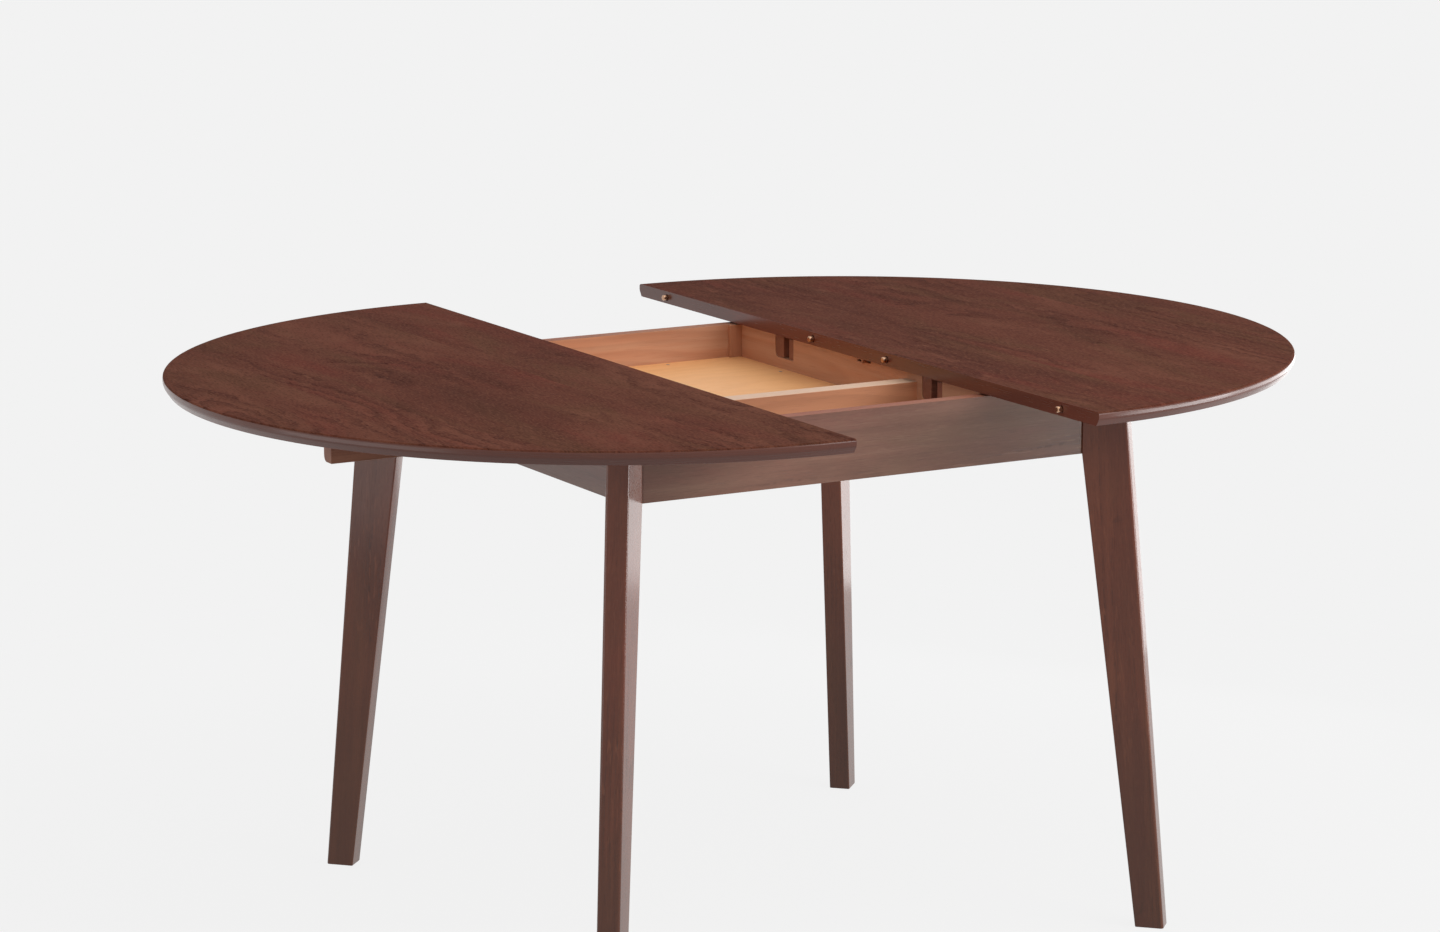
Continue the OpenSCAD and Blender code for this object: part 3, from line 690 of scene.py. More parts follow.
class TABLE_OT_finishes(bpy.types.Operator):
    """Make the materials of wood and metal"""

    bl_idname = "table.finishes"
    bl_label = "Finishes"

    def execute(self, context):
        colours = context.scene.table_colours

        make_stained(
            "veneer_stained", colours, veneer_figure, colours.stain, 0.62,
            roughness=0.60, relief=0.00010, ior=1.33, specular_ior_level=0.01)
        make_stained(
            "edge_stained", colours, board_figure, colours.rim, 0.12,
            roughness=0.24, relief=0.00001, ior=1.42)
        make_stained(
            "straight_stained", colours, board_figure, colours.straight, 0.30,
            roughness=0.22, relief=0.00003, ior=1.45)
        # The legs take painted shade below 0.6 m, darker towards the floor
        make_stained(
            "legs_stained", colours, board_figure, colours.leg, 0.40, foot=0.6,
            roughness=0.16, relief=0.00004, ior=1.39)
        make_stained(
            "aprons_stained", colours, wide_figure, colours.apron, 0.38,
            roughness=0.21, relief=0.00005, ior=1.41)
        # Painted light: a lighter, duller finish for the aprons' top faces, standing in for light from
        # above
        make_stained(
            "arris_stained", colours, board_figure, colours.apron_top_painted_light, 0.26,
            roughness=0.5, relief=0.00005, ior=1.33, specular_ior_level=0.1)
        make_stained(
            "underside_stained", colours, veneer_figure, colours.stain, 0.45,
            roughness=0.55, relief=0.00010, ior=1.33)
        make_stained(
            "runners_stained", colours, board_figure, colours.runner, 0.30,
            roughness=0.45, relief=0.00008, ior=1.33)
        make_pale("well_planed", colours.pale_light, colours.pale, colours.pale_dark, board_figure)
        make_pale("rail_planed", colours.rail, colours.rail, colours.pale_dark, board_figure)
        # Painted light: a lighter copy of the rail's wood for its top face, standing in for light from
        # above
        make_pale("arris_planed", colours.rail_top_painted_light, colours.rail_top_painted_light, colours.pale_light, board_figure, 0.6)
        make_pale("strip_planed", colours.strip, colours.strip, colours.pale_dark, board_figure, 0.6)
        make_pale("panel_birch", colours.birch, colours.birch, colours.birch_dark, veneer_figure, 0.7)
        make_metal("zinc_plate", colours.zinc, 0.8, 0.34)
        make_metal("dark_plate", colours.dark_steel, 0.7, 0.38)
        make_metal("bronze_plate", colours.bronze, 0.8, 0.50, 0.1)
        make_metal("brass_turned", colours.brass, 0.86, 0.15)
        return {"FINISHED"}


# Half tops

# Where in the log each half's veneer starts, left and right, in metres

VENEER_CUTS = {-1: 6.1, 1: 10.0}


def mark_top(piece, side):
    """Marks a half top's grain and finishes: veneer on its flats, bands on its two edges."""
    mesh = piece.data
    places = mesh.attributes.new(GRAIN, "FLOAT_VECTOR", "CORNER")
    for face in mesh.polygons:
        spot = face.center
        flat = face.normal.z > 0.5 or face.normal.z < -0.75
        straight = abs(face.normal.x) > 0.9 and abs(spot.x) < EDGE_X + 0.001
        face.material_index = (0 if spot.z > PIN_Z else 2) if flat else 3 if straight else 1
        for loop in face.loop_indices:
            point = mesh.vertices[mesh.loops[loop].vertex_index].co
            if flat:
                value = (point.y + VENEER_CUTS[side], point.x, point.z)
            elif straight or abs(point.x) < EDGE_X + 0.03:
                value = (point.y + side * 2.1, point.z - 0.72, 0.05)
            else:
                away = Vector((abs(point.x) - EDGE_X, point.y))
                round_edge = math.atan2(away.y, away.x) * TOP_R
                value = (round_edge + side * 4.1, point.z - 0.70, away.length - TOP_R + 0.06)
            places.data[loop].vector = value


class TABLE_OT_half_tops(bpy.types.Operator):
    """Model the two half tops, with the round edge cut back below and sockets in the straight edges"""

    bl_idname = "table.half_tops"
    bl_label = "Half Tops"

    def execute(self, context):
        shapes = context.scene.table_shapes
        knee = UNDER_Z + shapes.edge_undercut_height
        clear_selection()
        bpy.ops.mesh.primitive_cylinder_add(
            vertices=shapes.edge_segments, radius=TOP_R - shapes.edge_undercut, depth=knee - UNDER_Z,
            location=(EDGE_X, 0, (knee + UNDER_Z) / 2))
        half = settle_place("half_top_right")
        grow = TOP_R / (TOP_R - shapes.edge_undercut)
        with editing(half):
            pick(half, "FACE", lambda face: face.normal.z > 0.9)
            bpy.ops.transform.resize(value=(grow, grow, 1), center_override=(EDGE_X, 0, knee))
            bpy.ops.mesh.extrude_region_move(TRANSFORM_OT_translate={"value": (0, 0, TABLE_Z - knee)})
        for level, width, segments in (
                (TABLE_Z, shapes.edge_arris, 6), (knee, KNEE_ROUND, 3), (UNDER_Z, UNDER_ARRIS, 2)):
            soften(half, width, segments, lambda edge: all(
                near(vertex.co.z, level) for vertex in edge.verts))
        slice_off(half, (EDGE_X, 0, 0), (-1, 0, 0))
        soften(half, STRAIGHT_ARRIS, 2, lambda edge: near(middle(edge).x, EDGE_X)
               and edge.calc_length() > 0.5)
        twin = copy_piece(half, "half_top_left", mirror=(-1, 1, 1))
        for piece, side, radius, depth in (
                (half, 1, PIN_BORE_R, PIN_BORE_DEPTH), (twin, -1, SLEEVE_BORE_R, SLEEVE_BORE_DEPTH)):
            edge = side * EDGE_X
            carve(piece, [
                add_rod("bore", (edge - side * 0.005, y, PIN_Z), (edge + side * depth, y, PIN_Z), radius)
                for y in PIN_YS])
            soften(piece, BORE_ARRIS, 1, lambda line: near(middle(line).x, edge) and any(
                math.hypot(middle(line).y - y, middle(line).z - PIN_Z) < 0.006 for y in PIN_YS))
            smooth(piece, 30)
            put(piece, ["top_right" if side > 0 else "top_left"], "stained_wood",
                "veneer_stained", "edge_stained", "underside_stained", "straight_stained")
            mark_top(piece, side)
        return {"FINISHED"}


def set_out(model, name, node):
    """Copies a pin or sleeve to its four places along the edge and joins the copies."""
    row = join([copy_piece(model, model.name, (0, y, 0)) for y in PIN_YS], name)
    bpy.data.objects.remove(model)
    put(row, [node], "brass", "brass_turned")


class TABLE_OT_pins(bpy.types.Operator):
    """Model the locating pins and their sleeves"""

    bl_idname = "table.pins"
    bl_label = "Pins and Sleeves"

    def execute(self, context):
        tip, root = (corner.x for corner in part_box("locating_pins"))
        pin = add_rod("pin", (tip, 0, PIN_Z), (root, 0, PIN_Z), PIN_R, 40)
        with editing(pin):
            bpy.ops.mesh.select_all(action="SELECT")
            bpy.ops.mesh.bisect(plane_co=(EDGE_X, 0, 0), plane_no=(1, 0, 0))
            pick(pin, "VERT", lambda vertex: vertex.co.x > EDGE_X + 0.01)
            bpy.ops.transform.resize(value=(1, 1.125, 1.125), center_override=(root, 0, PIN_Z))
        soften(pin, PIN_TIP_ROUND, 5, lambda edge: all(vertex.co.x < tip + 1e-5 for vertex in edge.verts))
        smooth(pin, 40)
        set_out(pin, "pins_turned", "locating_pins")

        inner, mouth = (corner.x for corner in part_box("pin_sleeves"))
        sleeve = add_rod("sleeve", (inner, 0, PIN_Z), (mouth, 0, PIN_Z), SLEEVE_R, 40)
        with editing(sleeve):
            pick(sleeve, "FACE", lambda face: face.normal.x > 0.9)
            bpy.ops.mesh.inset(thickness=SLEEVE_WALL)
            bpy.ops.mesh.extrude_region_move(TRANSFORM_OT_translate={"value": (-SLEEVE_DEPTH, 0, 0)})
        soften(sleeve, BORE_ARRIS, 2, lambda edge: all(vertex.co.x > mouth - 1e-5 for vertex in edge.verts)
               and edge.calc_length() < 0.002)
        smooth(sleeve, 40)
        set_out(sleeve, "sleeves_turned", "pin_sleeves")
        return {"FINISHED"}


# Runners, guide bars and slides

def runner_screw_xs():
    """Where the right half's runners have their screws, along their length."""
    low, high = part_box("runner_right_back")
    first, last = low.x + RUNNER_SCREW_INSET, high.x - RUNNER_SCREW_INSET
    return [first + (last - first) * i / 3 for i in range(4)]


def copy_rails(rail, kind, cut, step):
    """Copies a back right runner or bar to its four places, each cut a step further on in the log."""
    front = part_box(kind + "_right_front")[0].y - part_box(kind + "_right_back")[0].y
    for i, (place, move, mirror) in enumerate((
            ("right_back", 0, 1), ("right_front", front, 1),
            ("left_back", 0, -1), ("left_front", front, -1))):
        piece = copy_piece(rail, f"{kind}_{place}_planed", (0, move, 0), (mirror, 1, 1))
        finish_board(
            piece, (1, 0, 0), (0, 0, 1), [start + i * way for start, way in zip(cut, step)],
            f"{kind}_{place}", "stained_rails", "runners_stained")
    bpy.data.objects.remove(rail)


class TABLE_OT_runners(bpy.types.Operator):
    """Model the four runners, with one rounded arris and counterbores for their screws"""

    bl_idname = "table.runners"
    bl_label = "Runners"

    def execute(self, context):
        shapes = context.scene.table_shapes
        low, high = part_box("runner_right_back")
        runner = add_block("runner", low, high)
        soften(runner, shapes.runner_arris, 6, lambda edge: near(middle(edge).y, high.y)
               and near(middle(edge).z, low.z))
        soften(runner, SAWN_ARRIS, 2, lambda edge: sharp(edge, 60))
        mid_y = (low.y + high.y) / 2
        carve(runner, [
            add_rod("bore", (x, mid_y, low.z - 0.002), (x, mid_y, low.z + COUNTERBORE_DEPTH), COUNTERBORE_R)
            for x in runner_screw_xs()])
        copy_rails(runner, "runner", (0, 0, 0.05), (1.9, 0.01, 0.01))
        return {"FINISHED"}


class TABLE_OT_guide_bars(bpy.types.Operator):
    """Model the four fixed bars that carry the slide channels"""

    bl_idname = "table.guide_bars"
    bl_label = "Guide Bars"

    def execute(self, context):
        bar = add_block("bar", BAR_LOW, BAR_HIGH)
        soften(bar, SAWN_ARRIS, 2)
        copy_rails(bar, "guide_bar", (9, 0, 0.04), (2.3, 0.008, 0))
        return {"FINISHED"}


class TABLE_OT_fittings(bpy.types.Operator):
    """Finish the steel slides, the lock and the hidden fittings, whose shapes are kept"""

    bl_idname = "table.fittings"
    bl_label = "Slides and Fittings"

    def execute(self, context):
        sides = ("left_front", "left_back", "right_front", "right_back")
        keep(["slide_rail_" + side for side in sides], "zinc_plate")
        keep(["slide_channel_" + side for side in sides], "zinc_plate")
        keep(["lock_plate", "leg_washers"], "zinc_plate")
        keep(["lock_keeper"], "bronze_plate")
        keep(["lock_bolt", "rail_screws_left", "rail_screws_right", "channel_screws", "guide_bar_screws",
              "lock_plate_screws", "lock_keeper_screws"], "dark_plate")
        keep(["leg_inserts"], "brass_turned")
        return {"FINISHED"}


# Frame

def leg_seat():
    """The middle of the back right leg's inner edge, at the frame's corner."""
    inset = bpy.context.scene.table_shapes.leg_thickness / math.sqrt(2) / 2
    return FRAME_X - inset, FRAME_Y - inset


def mitred_board(name, low, high, along):
    """A board whose two ends are mitred inside and cut flat for the legs outside, as in plan."""
    board = add_block(name, low, high)
    seat_x, seat_y = leg_seat()
    for end in (-1, 1):
        if along == "x":
            side = 1 if low[1] > 0 else -1
            slice_off(board, (end * INNER_X, side * INNER_Y, 0), (end, -side, 0))
        else:
            side = 1 if low[0] > 0 else -1
            slice_off(board, (side * INNER_X, end * INNER_Y, 0), (-side, end, 0))
        corner = (end * seat_x, side * seat_y, 0) if along == "x" else (side * seat_x, end * seat_y, 0)
        slice_off(board, corner, corner)
    return board


def finish_apron(board, place, along, cut, inwards):
    """Finishes an apron: stained outside, bare where it looks into the frame, dull on top, where a lighter
    tone is painted light from above.
    """
    finish_board(
        board, along, (0, 0, 1), cut,
        "apron_" + place, "stained_wood", "aprons_stained", "well_planed", "arris_stained")
    # Upward faces take the finish with painted light from above
    for face in board.data.polygons:
        inside = face.normal.dot(Vector(inwards)) > 0.9
        face.material_index = 1 if inside else 2 if face.normal.z > 0.9 else 0


def notch_cutters(side, reach):
    """Blocks that cut the two runner notches of one side."""
    cutters = []
    for start in NOTCH_STARTS:
        ends = sorted((side * (WALL_LOW.x - CLEAR), side * reach))
        cutter = add_block(
            "notch", (ends[0], start, NOTCH_Z), (ends[1], start + NOTCH_W, APRON_Z1 + CLEAR))
        soften(cutter, NOTCH_ROUND, 6, lambda edge: near(middle(edge).y, start + NOTCH_W)
               and near(middle(edge).z, NOTCH_Z))
        cutters.append(cutter)
    return cutters


class TABLE_OT_aprons(bpy.types.Operator):
    """Model the four aprons, mitred at the corners and notched for the runners"""

    bl_idname = "table.aprons"
    bl_label = "Aprons"

    def execute(self, context):
        arris, groove = context.scene.table_shapes.board_arris, context.scene.table_shapes.joint_arris
        for i, (place, side) in enumerate((("front", -1), ("back", 1))):
            ys = sorted((side * INNER_Y, side * FRAME_Y))
            board = mitred_board(
                "apron_board_" + place, (-FRAME_X, ys[0], APRON_Z0), (FRAME_X, ys[1], APRON_Z1), "x")
            soften(board, groove, 3, lambda edge: upright(edge) and abs(middle(edge).y) > FRAME_Y - 1e-4)
            soften(board, arris, 2, lambda edge: sharp(edge, 60) and edge.calc_length() > 0.5)
            finish_apron(board, place, (1, 0, 0), (i * 3.1 + 20, 0.01, 0.045), (0, -side, 0))
        for i, (place, side) in enumerate((("left", -1), ("right", 1))):
            xs = sorted((side * INNER_X, side * FRAME_X))
            board = mitred_board(
                "apron_board_" + place, (xs[0], -FRAME_Y, APRON_Z0), (xs[1], FRAME_Y, APRON_Z1), "y")
            soften(board, groove, 3, lambda edge: upright(edge) and abs(middle(edge).x) > FRAME_X - 1e-4)
            carve(board, notch_cutters(side, FRAME_X + CLEAR))
            soften(board, arris, 2, lambda edge: sharp(edge, 60) and abs(middle(edge).y) < FRAME_Y - 0.022)
            finish_apron(board, place, (0, 1, 0), (i * 3.1 + 30, -0.01, 0.05), (-side, 0, 0))
        return {"FINISHED"}


class TABLE_OT_cross_walls(bpy.types.Operator):
    """Model the two cross walls, notched for the runners and the lock"""

    bl_idname = "table.cross_walls"
    bl_label = "Cross Walls"

    def execute(self, context):
        for i, (place, side) in enumerate((("left", -1), ("right", 1))):
            low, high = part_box("cross_wall_" + place)
            wall = add_block("cross_wall_board_" + place, low, high)
            lock_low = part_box("lock_plate")[0].z - LOCK_NOTCH_GAP
            lock_notch = add_block(
                "notch", (low.x - CLEAR, LOCK_Y - LOCK_NOTCH_HALF, lock_low),
                (high.x + CLEAR, LOCK_Y + LOCK_NOTCH_HALF, high.z + CLEAR))
            carve(wall, notch_cutters(side, WALL_HIGH.x + CLEAR) + [lock_notch])
            soften(wall, WALL_ARRIS, 2, lambda edge: sharp(edge, 60)
                   and abs(middle(edge).y) < INNER_Y - 0.001)
            finish_board(
                wall, (0, 1, 0), (0, 0, 1), (i * 2.7 + 40, 0.01, 0.05),
                "cross_wall_" + place, "pale_wood", "well_planed")
        keep(["frame_dowels"], "well_planed")
        return {"FINISHED"}


class TABLE_OT_corner_blocks(bpy.types.Operator):
    """Model the four glued corner blocks, bored for the leg bolts"""

    bl_idname = "table.corner_blocks"
    bl_label = "Corner Blocks"

    def execute(self, context):
        low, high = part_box("corner_block_back_right")
        block = add_block("block", low, high)
        slice_off(block, (low.x, high.y, 0), (-1, -1, 0))
        mid_x, mid_y = (low.x + high.x) / 2, (low.y + high.y) / 2
        carve(block, [
            add_rod("bore", (mid_x - 0.03, mid_y - 0.03, z), (high.x + 0.02, high.y + 0.02, z), BOLT_BORE_R)
            for z in BOLT_LEVELS])
        soften(block, SAWN_ARRIS, 2, lambda edge: sharp(edge, 60) and edge.calc_length() > 0.01)
        for i, (place, mirror) in enumerate(CORNERS):
            piece = copy_piece(block, "corner_block_" + place + "_sawn", mirror=mirror)
            finish_board(
                piece, (0, 0, 1), (1, 0, 0), (i * 1.1 + 50, 0.02 * i, 0.05),
                "corner_block_" + place, "pale_wood", "well_planed")
        bpy.data.objects.remove(block)
        return {"FINISHED"}


# Storage well

def floor_screw_places():
    """Where the floor panel's screws go, each as a point and the way it is driven."""
    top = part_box("well_floor")[1].z + 0.0001
    low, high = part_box("floor_cleat_right")
    heads = [
        (side * (low.x + high.x) / 2, low.y + (high.y - low.y) * share, top)
        for side in (-1, 1) for share in (0.1, 0.36, 0.715)]
    for node in ("floor_cleat_front", "floor_cleat_back"):
        low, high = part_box(node)
        heads += [(side * WALL_LOW.x / 3, (low.y + high.y) / 2, top) for side in (-1, 1)]
    return [(Vector(head), Vector((0, 0, -1))) for head in heads]


def cleat_screw_places():
    """Where the strips' screws go, in the same way."""
    low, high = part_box("floor_cleat_right")
    level = (low.z + high.z) / 2
    places = [
        (Vector((side * (low.x - 0.0001), low.y + (high.y - low.y) * share, level)), Vector((side, 0, 0)))
        for side in (-1, 1) for share in (0.25, 0.75)]
    for side in (-1, 1):
        places += [
            (Vector((side * WALL_LOW.x * 0.7, end - way * 0.0001, level)), Vector((0, way, 0)))
            for way, end in (
                (1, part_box("floor_cleat_back")[0].y), (-1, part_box("floor_cleat_front")[1].y))]
    return places


def holds(node, point):
    """Whether a point lies in or on a node's box."""
    low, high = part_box(node)
    return all(low[i] - 0.001 < point[i] < high[i] + 0.001 for i in range(3))


def sink(point, way, radius, depth, shank_r):
    """A cutter for a screw head's countersink, a little wider than the head."""
    return add_rod(
        "sink", point - way * 0.0003, point + way * depth, radius + 0.0004, 32, shank_r + 0.0001)


class TABLE_OT_well(bpy.types.Operator):
    """Model the well's floor panel, its front rail, its corner strips and the strips below"""

    bl_idname = "table.well"
    bl_label = "Storage Well"

    def execute(self, context):
        floor = add_block("well_floor_panel", *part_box("well_floor"))
        soften(floor, PANEL_ARRIS, 1)
        carve(floor, [sink(point, way, *FLOOR_HEAD) for point, way in floor_screw_places()])
        finish_board(
            floor, (1, 0, 0), (0, 1, 0), (60, 0.1, 0.05), "well_floor", "plywood", "panel_birch")

        rail = add_block("well_front_rail_planed", *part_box("well_front_rail"))
        soften(rail, RAIL_ARRIS, 3, lambda edge: edge.calc_length() > 0.3)
        finish_board(
            rail, (1, 0, 0), (0, 0, 1), (64, 0.0, 0.06),
            "well_front_rail", "pale_wood", "rail_planed", "arris_planed")
        # Painted light: the rail's upward faces take the lighter top finish
        for face in rail.data.polygons:
            face.material_index = 1 if face.normal.z > 0.5 else 0

        low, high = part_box("well_corner_strips")
        strips = [
            add_block("strip", (x, low.y, low.z), (x + STRIP_W, high.y, high.z))
            for x in (low.x, high.x - STRIP_W)]
        for strip in strips:
            soften(strip, STRIP_ARRIS, 2)
            smooth(strip)
            mark_grain(strip, (0, 0, 1), (1, 0, 0), (68 + strip.data.vertices[0].co.x, 0.0, 0.06))
        put(join(strips, "well_corner_strips_planed"), ["well_corner_strips"], "pale_wood", "strip_planed")

        for i, (place, along) in enumerate((
                ("left", (0, 1, 0)), ("right", (0, 1, 0)), ("front", (1, 0, 0)), ("back", (1, 0, 0)))):
            node = "floor_cleat_" + place
            cleat = add_block(node + "_sawn", *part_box(node))
            soften(cleat, CLEAT_ARRIS, 2)
            carve(cleat, [
                sink(point, way, *WOOD_HEAD) for point, way in cleat_screw_places() if holds(node, point)])
            finish_board(
                cleat, along, (0, 0, 1), (72 + i * 1.7, 0.0, 0.05), node, "pale_wood", "well_planed")
        return {"FINISHED"}


# Legs

class TABLE_OT_legs(bpy.types.Operator):
    """Model one splayed board leg and copy it to the four corners"""

    bl_idname = "table.legs"
    bl_label = "Legs"

    def execute(self, context):
        shapes = context.scene.table_shapes
        half = shapes.leg_thickness / 2
        foot = shapes.leg_splay + shapes.leg_foot
        slope = (foot - shapes.leg_knee) / APRON_Z0
        leg = add_block("leg", (0, -half, 0), (foot, half, APRON_Z1))
        with editing(leg):
            bpy.ops.mesh.select_all(action="SELECT")
            bpy.ops.mesh.bisect(plane_co=(0, 0, APRON_Z0), plane_no=(0, 0, 1))
            for level, inner, outer in (
                    (0.0, shapes.leg_splay, foot), (APRON_Z0, 0.0, shapes.leg_knee),
                    (APRON_Z1, 0.0, foot - slope * APRON_Z1)):
                pick(leg, "VERT", lambda vertex: near(vertex.co.z, level) and vertex.co.x < 0.01)
                bpy.ops.transform.translate(value=(inner, 0, 0))
                pick(leg, "VERT", lambda vertex: near(vertex.co.z, level) and vertex.co.x > foot - 0.001)
                bpy.ops.transform.translate(value=(outer - foot, 0, 0))

        def outside(edge):
            """Whether an edge lies on the outer half of the leg, past 45 mm at its top."""
            return middle(edge).x > 0.045 + (APRON_Z1 - middle(edge).z) * slope

        def inner_arris(edge):
            """Whether an edge is an upright arris on the inner half."""
            return upright(edge) and sharp(edge) and not outside(edge)

        soften(leg, shapes.leg_arris, 6, lambda edge: upright(edge) and sharp(edge) and outside(edge))
        soften(leg, shapes.leg_inner_arris, 4, lambda edge: inner_arris(edge) and middle(edge).z < APRON_Z0)
        soften(leg, shapes.joint_arris, 3, lambda edge: inner_arris(edge) and middle(edge).z > APRON_Z0)
        soften(leg, LEG_END_ARRIS, 2, lambda edge: sharp(edge, 60) and (
            max(vertex.co.z for vertex in edge.verts) < 0.001
            or min(vertex.co.z for vertex in edge.verts) > APRON_Z1 - 0.001))
        make_active(leg)
        leg.rotation_euler = (0, 0, math.radians(45))
        leg.location = (*leg_seat(), 0)
        leg = settle_place("leg")
        lean = shapes.leg_splay / 2 / math.sqrt(2)
        for i, (place, mirror) in enumerate(CORNERS):
            piece = copy_piece(leg, "leg_" + place + "_board", mirror=mirror)
            x, y, _ = mirror
            finish_board(
                piece, (-x * lean, -y * lean, 0.68), (x, y, 0.09),
                (i * 2.9 + 80, 0.012 * (i - 1.5), 0.055), "leg_" + place, "stained_wood", "legs_stained")
        bpy.data.objects.remove(leg)
        return {"FINISHED"}


class TABLE_OT_leg_bolts(bpy.types.Operator):
    """Model the eight leg bolts with chamfered hexagon heads"""

    bl_idname = "table.leg_bolts"
    bl_label = "Leg Bolts"

    def execute(self, context):
        seat = Vector((*leg_seat(), 0))
        out = Vector((1, 1, 0)).normalized()
        low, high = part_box("corner_block_back_right")
        face = Vector(((low.x + high.x) / 2, (low.y + high.y) / 2, 0))
        under = (face - seat).dot(out) - WASHER
        bolts = []
        for z in BOLT_LEVELS:
            axis = seat + Vector((0, 0, z))
            head = add_rod(
                "head", axis + out * (under - BOLT_HEAD_H), axis + out * under, BOLT_HEAD_R, 6)
            dome = add_rod(
                "dome", axis + out * (under - BOLT_HEAD_H - 0.0001), axis + out * (under + 0.001),
                BOLT_DOME_R, 48, BOLT_DOME_FOOT_R)
            carve(head, [dome], "INTERSECT")
            shank = add_rod("shank", axis + out * (under - 0.001), axis + out * BOLT_REACH, BOLT_R, 32)
            bolts.append(join([head, shank], "bolt"))
        bolt = join(bolts, "bolt")
        smooth(bolt, 30)
        bolts = [copy_piece(bolt, "bolt", mirror=mirror) for _, mirror in CORNERS]
        bpy.data.objects.remove(bolt)
        put(join(bolts, "leg_bolts_forged"), ["leg_bolts"], "bright_steel", "zinc_plate")
        return {"FINISHED"}


# Screws

def cross_screw(name, radius, head_h, shank_r, length, slot):
    """A countersunk screw along +Z from its head's flat at 0, with a cross recess."""
    head = add_rod("head", (0, 0, 0), (0, 0, head_h), radius, 32, shank_r)
    reach, half = radius * RECESS_REACH, slot / 2
    arms = [
        add_block("arm", (-x, -y, -0.001), (x, y, head_h * RECESS_DEPTH))
        for x, y in ((reach, half), (half, reach))]
    carve(arms[0], [arms[1]], "UNION")
    carve(head, [arms[0]])
    shank = add_rod("shank", (0, 0, head_h * 0.98), (0, 0, length), shank_r, 12)
    return join([head, shank], name)


def drive(screw, places, name):
    """Copies a screw to its places, each a point and the way it is driven, and turns each its own way."""
    copies = []
    for i, (point, way) in enumerate(places):
        twin = screw.copy()
        twin.data = screw.data.copy()
        bpy.context.scene.collection.objects.link(twin)
        aim = Vector(way).to_track_quat("Z", "Y").to_matrix().to_4x4()
        turn = Matrix.Rotation(math.radians(37 * i + 11), 4, "Z")
        twin.matrix_world = Matrix.Translation(point) @ aim @ turn
        make_active(twin)
        copies.append(settle_place("screw"))
    bpy.data.objects.remove(screw)
    screws = join(copies, name)
    smooth(screws)
    return screws


class TABLE_OT_screws(bpy.types.Operator):
    """Model the cross recess screws of the runners, the floor panel and the strips below it"""

    bl_idname = "table.screws"
    bl_label = "Screws"

    def execute(self, context):
        slot = context.scene.table_shapes.screw_slot
        low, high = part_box("runner_right_back")
        mid_y = (low.y + high.y) / 2
        head_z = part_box("runner_screws_right")[0].z
        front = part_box("runner_right_front")[0].y - low.y
        for place, side in (("left", -1), ("right", 1)):
            node = "runner_screws_" + place
            places = [
                ((side * x, mid_y + move, head_z), (0, 0, 1))
                for move in (0, front) for x in runner_screw_xs()]
            screw = cross_screw("screw", *WOOD_HEAD, RUNNER_SCREW_L, slot)
            put(drive(screw, places, node + "_cross"), [node], "dark_steel", "dark_plate")

        screw = cross_screw("screw", *FLOOR_HEAD, FLOOR_SCREW_L, slot * 0.8)
        screws = drive(screw, floor_screw_places(), "floor_screws_cross")
        put(screws, ["floor_screws"], "bright_steel", "zinc_plate")
        screw = cross_screw("screw", *WOOD_HEAD, CLEAT_SCREW_L, slot)
        screws = drive(screw, cleat_screw_places(), "cleat_screws_cross")
        put(screws, ["cleat_screws"], "dark_steel", "dark_plate")
        return {"FINISHED"}


# Studio

# The camera: its place in metres, its pan, tilt and roll in degrees, and its lens in millimetres

CAMERA_PLACE = (-2.7909, -4.9229, 1.7194)
CAMERA_PAN, CAMERA_TILT, CAMERA_ROLL = -29.32, -11.224, -0.063
CAMERA_LENS, CAMERA_SENSOR = 107.333, 36

# The floor's radius, and the distances between which its shadow fades out, in metres

FLOOR_R = 30
SHADOW_FADE = (1.0, 1.9)


def soft_light(name, place, target, width, height, glow):
    """A soft light that looks at a point, as bright as so many times white paper."""
    way = Vector(target) - Vector(place)
    bpy.ops.object.light_add(type="AREA", location=place, rotation=way.to_track_quat("-Z", "Y").to_euler())
    lamp = bpy.context.object
    lamp.name = name
    lamp.data.shape = "RECTANGLE"
    lamp.data.size = width
    lamp.data.size_y = height
    lamp.data.energy = glow * math.pi * width * height
    lamp.visible_camera = False


def seen_rays(finish, pale):
    """What shows directly, in gloss or through glass: 1 there, 0 for light that falls, and its colour.

    It is pale to the camera and white in gloss."""
    camera, glossy, through = finish.add(
        "ShaderNodeLightPath", output=("Is Camera Ray", "Is Glossy Ray", "Is Transmission Ray"))
    colour = finish.mix(glossy, pale, (1.0, 1.0, 1.0, 1.0))
    return finish.math("MINIMUM", camera + glossy + through, 1.0), colour


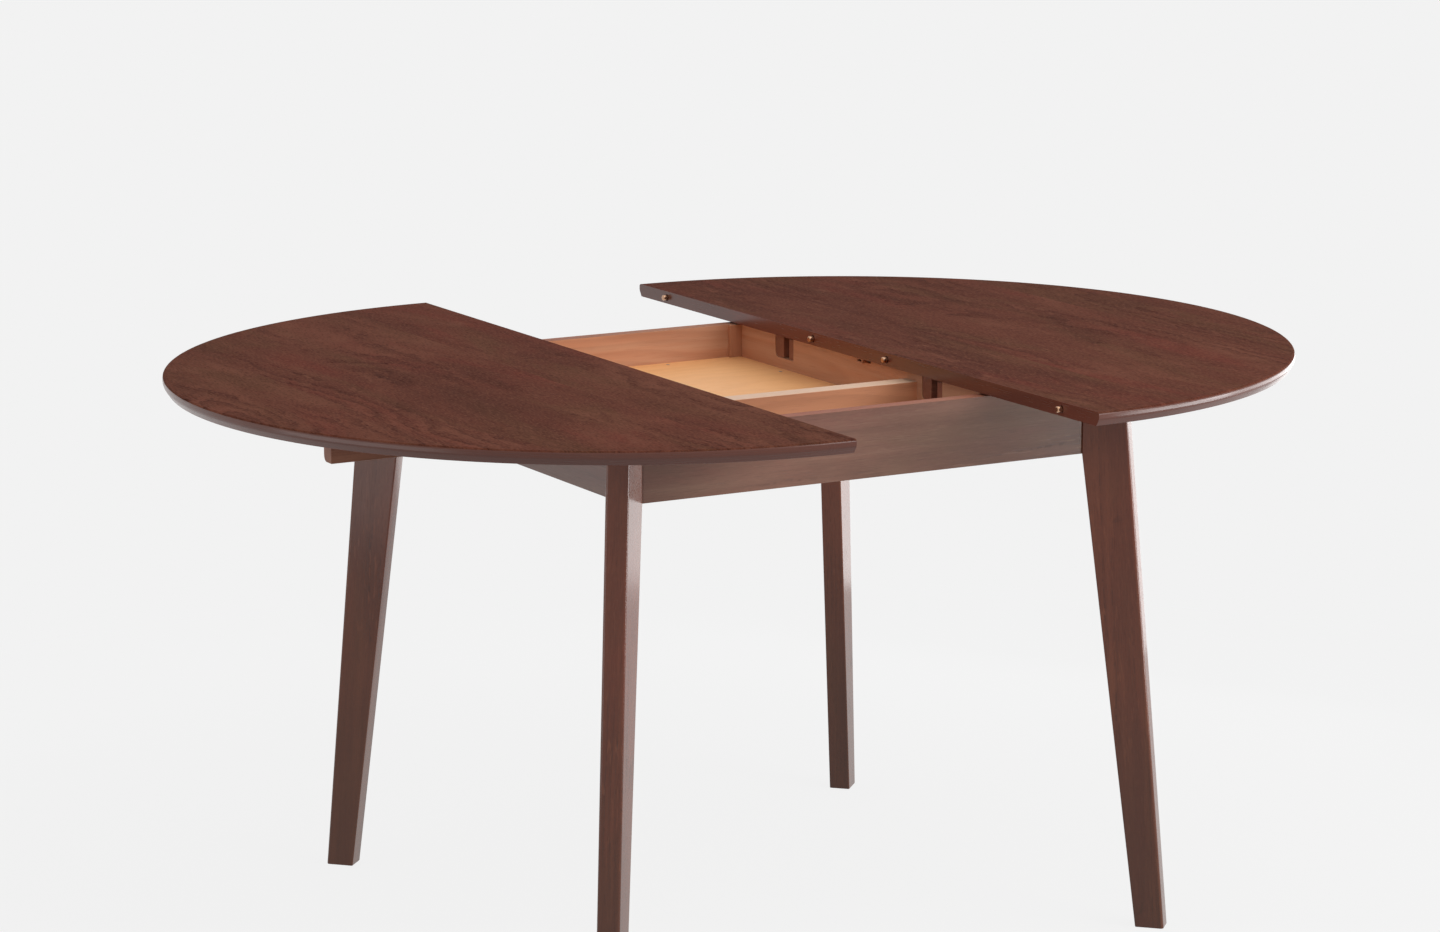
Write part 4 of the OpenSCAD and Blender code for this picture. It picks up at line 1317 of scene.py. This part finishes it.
class TABLE_OT_studio(bpy.types.Operator):
    """Set up the pale floor, the soft light and the camera"""

    bl_idname = "table.studio"
    bl_label = "Studio"

    def execute(self, context):
        studio, colours = context.scene.table_studio, context.scene.table_colours
        pale = paint(colours.backdrop)
        clear_selection()
        bpy.ops.mesh.primitive_circle_add(
            vertices=128, radius=FLOOR_R, fill_type="NGON", location=(0, 0, 0))
        ground = settle_place("studio_floor")
        finish = new_finish("studio_floor")
        x, y, _ = finish.split(finish.place())
        far = finish.ramp((x * x + y * y) ** 0.5, *SHADOW_FADE)
        shadow = (1.0 - far) * studio.shadow_share
        seen, colour = seen_rays(finish, pale)
        glow = seen * (1.0 - shadow)
        lit = finish.add("ShaderNodeBsdfDiffuse", values={"Color": paint(colours.ground)})
        shown = finish.add("ShaderNodeEmission", values={"Color": colour, "Strength": 1.0 + shadow * 0.8})
        both = finish.add("ShaderNodeMixShader", values={0: glow, 1: lit, 2: shown})
        below = finish.add("ShaderNodeNewGeometry", output="Backfacing")
        open_below = finish.add("ShaderNodeMixShader", values={
            0: below, 1: both, 2: finish.add("ShaderNodeBsdfTransparent")})
        finish.add("ShaderNodeOutputMaterial", values={"Surface": open_below})
        ground.data.materials.append(bpy.data.materials["studio_floor"])

        world = bpy.data.worlds.new("studio")
        world.use_nodes = True
        context.scene.world = world
        sky = Finish(world.node_tree)
        seen, colour = seen_rays(sky, pale)
        light = sky.add("ShaderNodeBackground", values={
            "Color": colour, "Strength": seen * (1.0 - studio.surround) + studio.surround})
        sky.add("ShaderNodeOutputWorld", values={"Surface": light})

        panel = studio.panel_glow
        soft_light("key", (2.6, -4.2, 3.0), (0, 0, 0.6), 2.6, 2.6, studio.key_glow)
        soft_light("overhead", (0.4, -0.8, 3.2), (0, 0, 0.7), 3.0, 3.0, studio.overhead_glow)
        soft_light("right_panel", (1.1, 0.95, 0.36), (0, 0.31, 0.36), 1.6, 0.50, panel * 0.9)
        soft_light("rim_panel", (1.4, -0.30, 0.62), (0.5, -0.47, 0.66), 1.2, 0.18, panel * 2.1)
        soft_light("front_panel", (2.1, -1.5, 0.36), (0.4, -0.4, 0.7), 1.5, 0.7, panel * 5.6)
        soft_light("left_panel", (-2.2, -0.1, 0.42), (-0.4, 0, 0.7), 1.6, 0.7, panel * 1.1)

        clear_selection()
        bpy.ops.object.camera_add(location=CAMERA_PLACE)
        camera = context.object
        camera.name = "view"
        pan, tilt, roll = (
            Matrix.Rotation(math.radians(angle), 4, axis)
            for angle, axis in ((CAMERA_PAN, "Z"), (90 + CAMERA_TILT, "X"), (CAMERA_ROLL, "Z")))
        camera.rotation_euler = (pan @ tilt @ roll).to_euler()
        camera.data.sensor_width = CAMERA_SENSOR
        camera.data.lens = CAMERA_LENS
        context.scene.camera = camera
        context.scene.view_settings.view_transform = "Standard"
        return {"FINISHED"}


class TABLE_PT_panel(bpy.types.Panel):
    """The steps that build and finish the table"""

    bl_label = "Round Extension Table"
    bl_idname = "TABLE_PT_panel"
    bl_space_type = "VIEW_3D"
    bl_region_type = "UI"
    bl_category = "Table"

    def draw(self, context):
        layout = self.layout
        for step in STEPS:
            layout.operator(step.bl_idname)
        scene = context.scene
        for group in (scene.table_shapes, scene.table_colours, scene.table_studio):
            box = layout.box()
            for name in group.__annotations__:
                box.prop(group, name)


STEPS = (
    TABLE_OT_finishes, TABLE_OT_half_tops, TABLE_OT_pins, TABLE_OT_runners, TABLE_OT_guide_bars,
    TABLE_OT_fittings, TABLE_OT_aprons, TABLE_OT_cross_walls, TABLE_OT_corner_blocks, TABLE_OT_well,
    TABLE_OT_legs, TABLE_OT_leg_bolts, TABLE_OT_screws, TABLE_OT_studio)
GROUPS = (TableShapes, TableColours, TableStudio)


def register():
    for group in GROUPS:
        bpy.utils.register_class(group)
    for step in STEPS:
        bpy.utils.register_class(step)
    bpy.utils.register_class(TABLE_PT_panel)
    bpy.types.Scene.table_shapes = PointerProperty(type=TableShapes)
    bpy.types.Scene.table_colours = PointerProperty(type=TableColours)
    bpy.types.Scene.table_studio = PointerProperty(type=TableStudio)


def unregister():
    del bpy.types.Scene.table_studio
    del bpy.types.Scene.table_colours
    del bpy.types.Scene.table_shapes
    bpy.utils.unregister_class(TABLE_PT_panel)
    for step in reversed(STEPS):
        bpy.utils.unregister_class(step)
    for group in reversed(GROUPS):
        bpy.utils.unregister_class(group)


def main():
    """Builds the table step by step."""
    register()
    for step in STEPS:
        family, name = step.bl_idname.split(".")
        getattr(getattr(bpy.ops, family), name)()


if __name__ == "__main__":
    main()
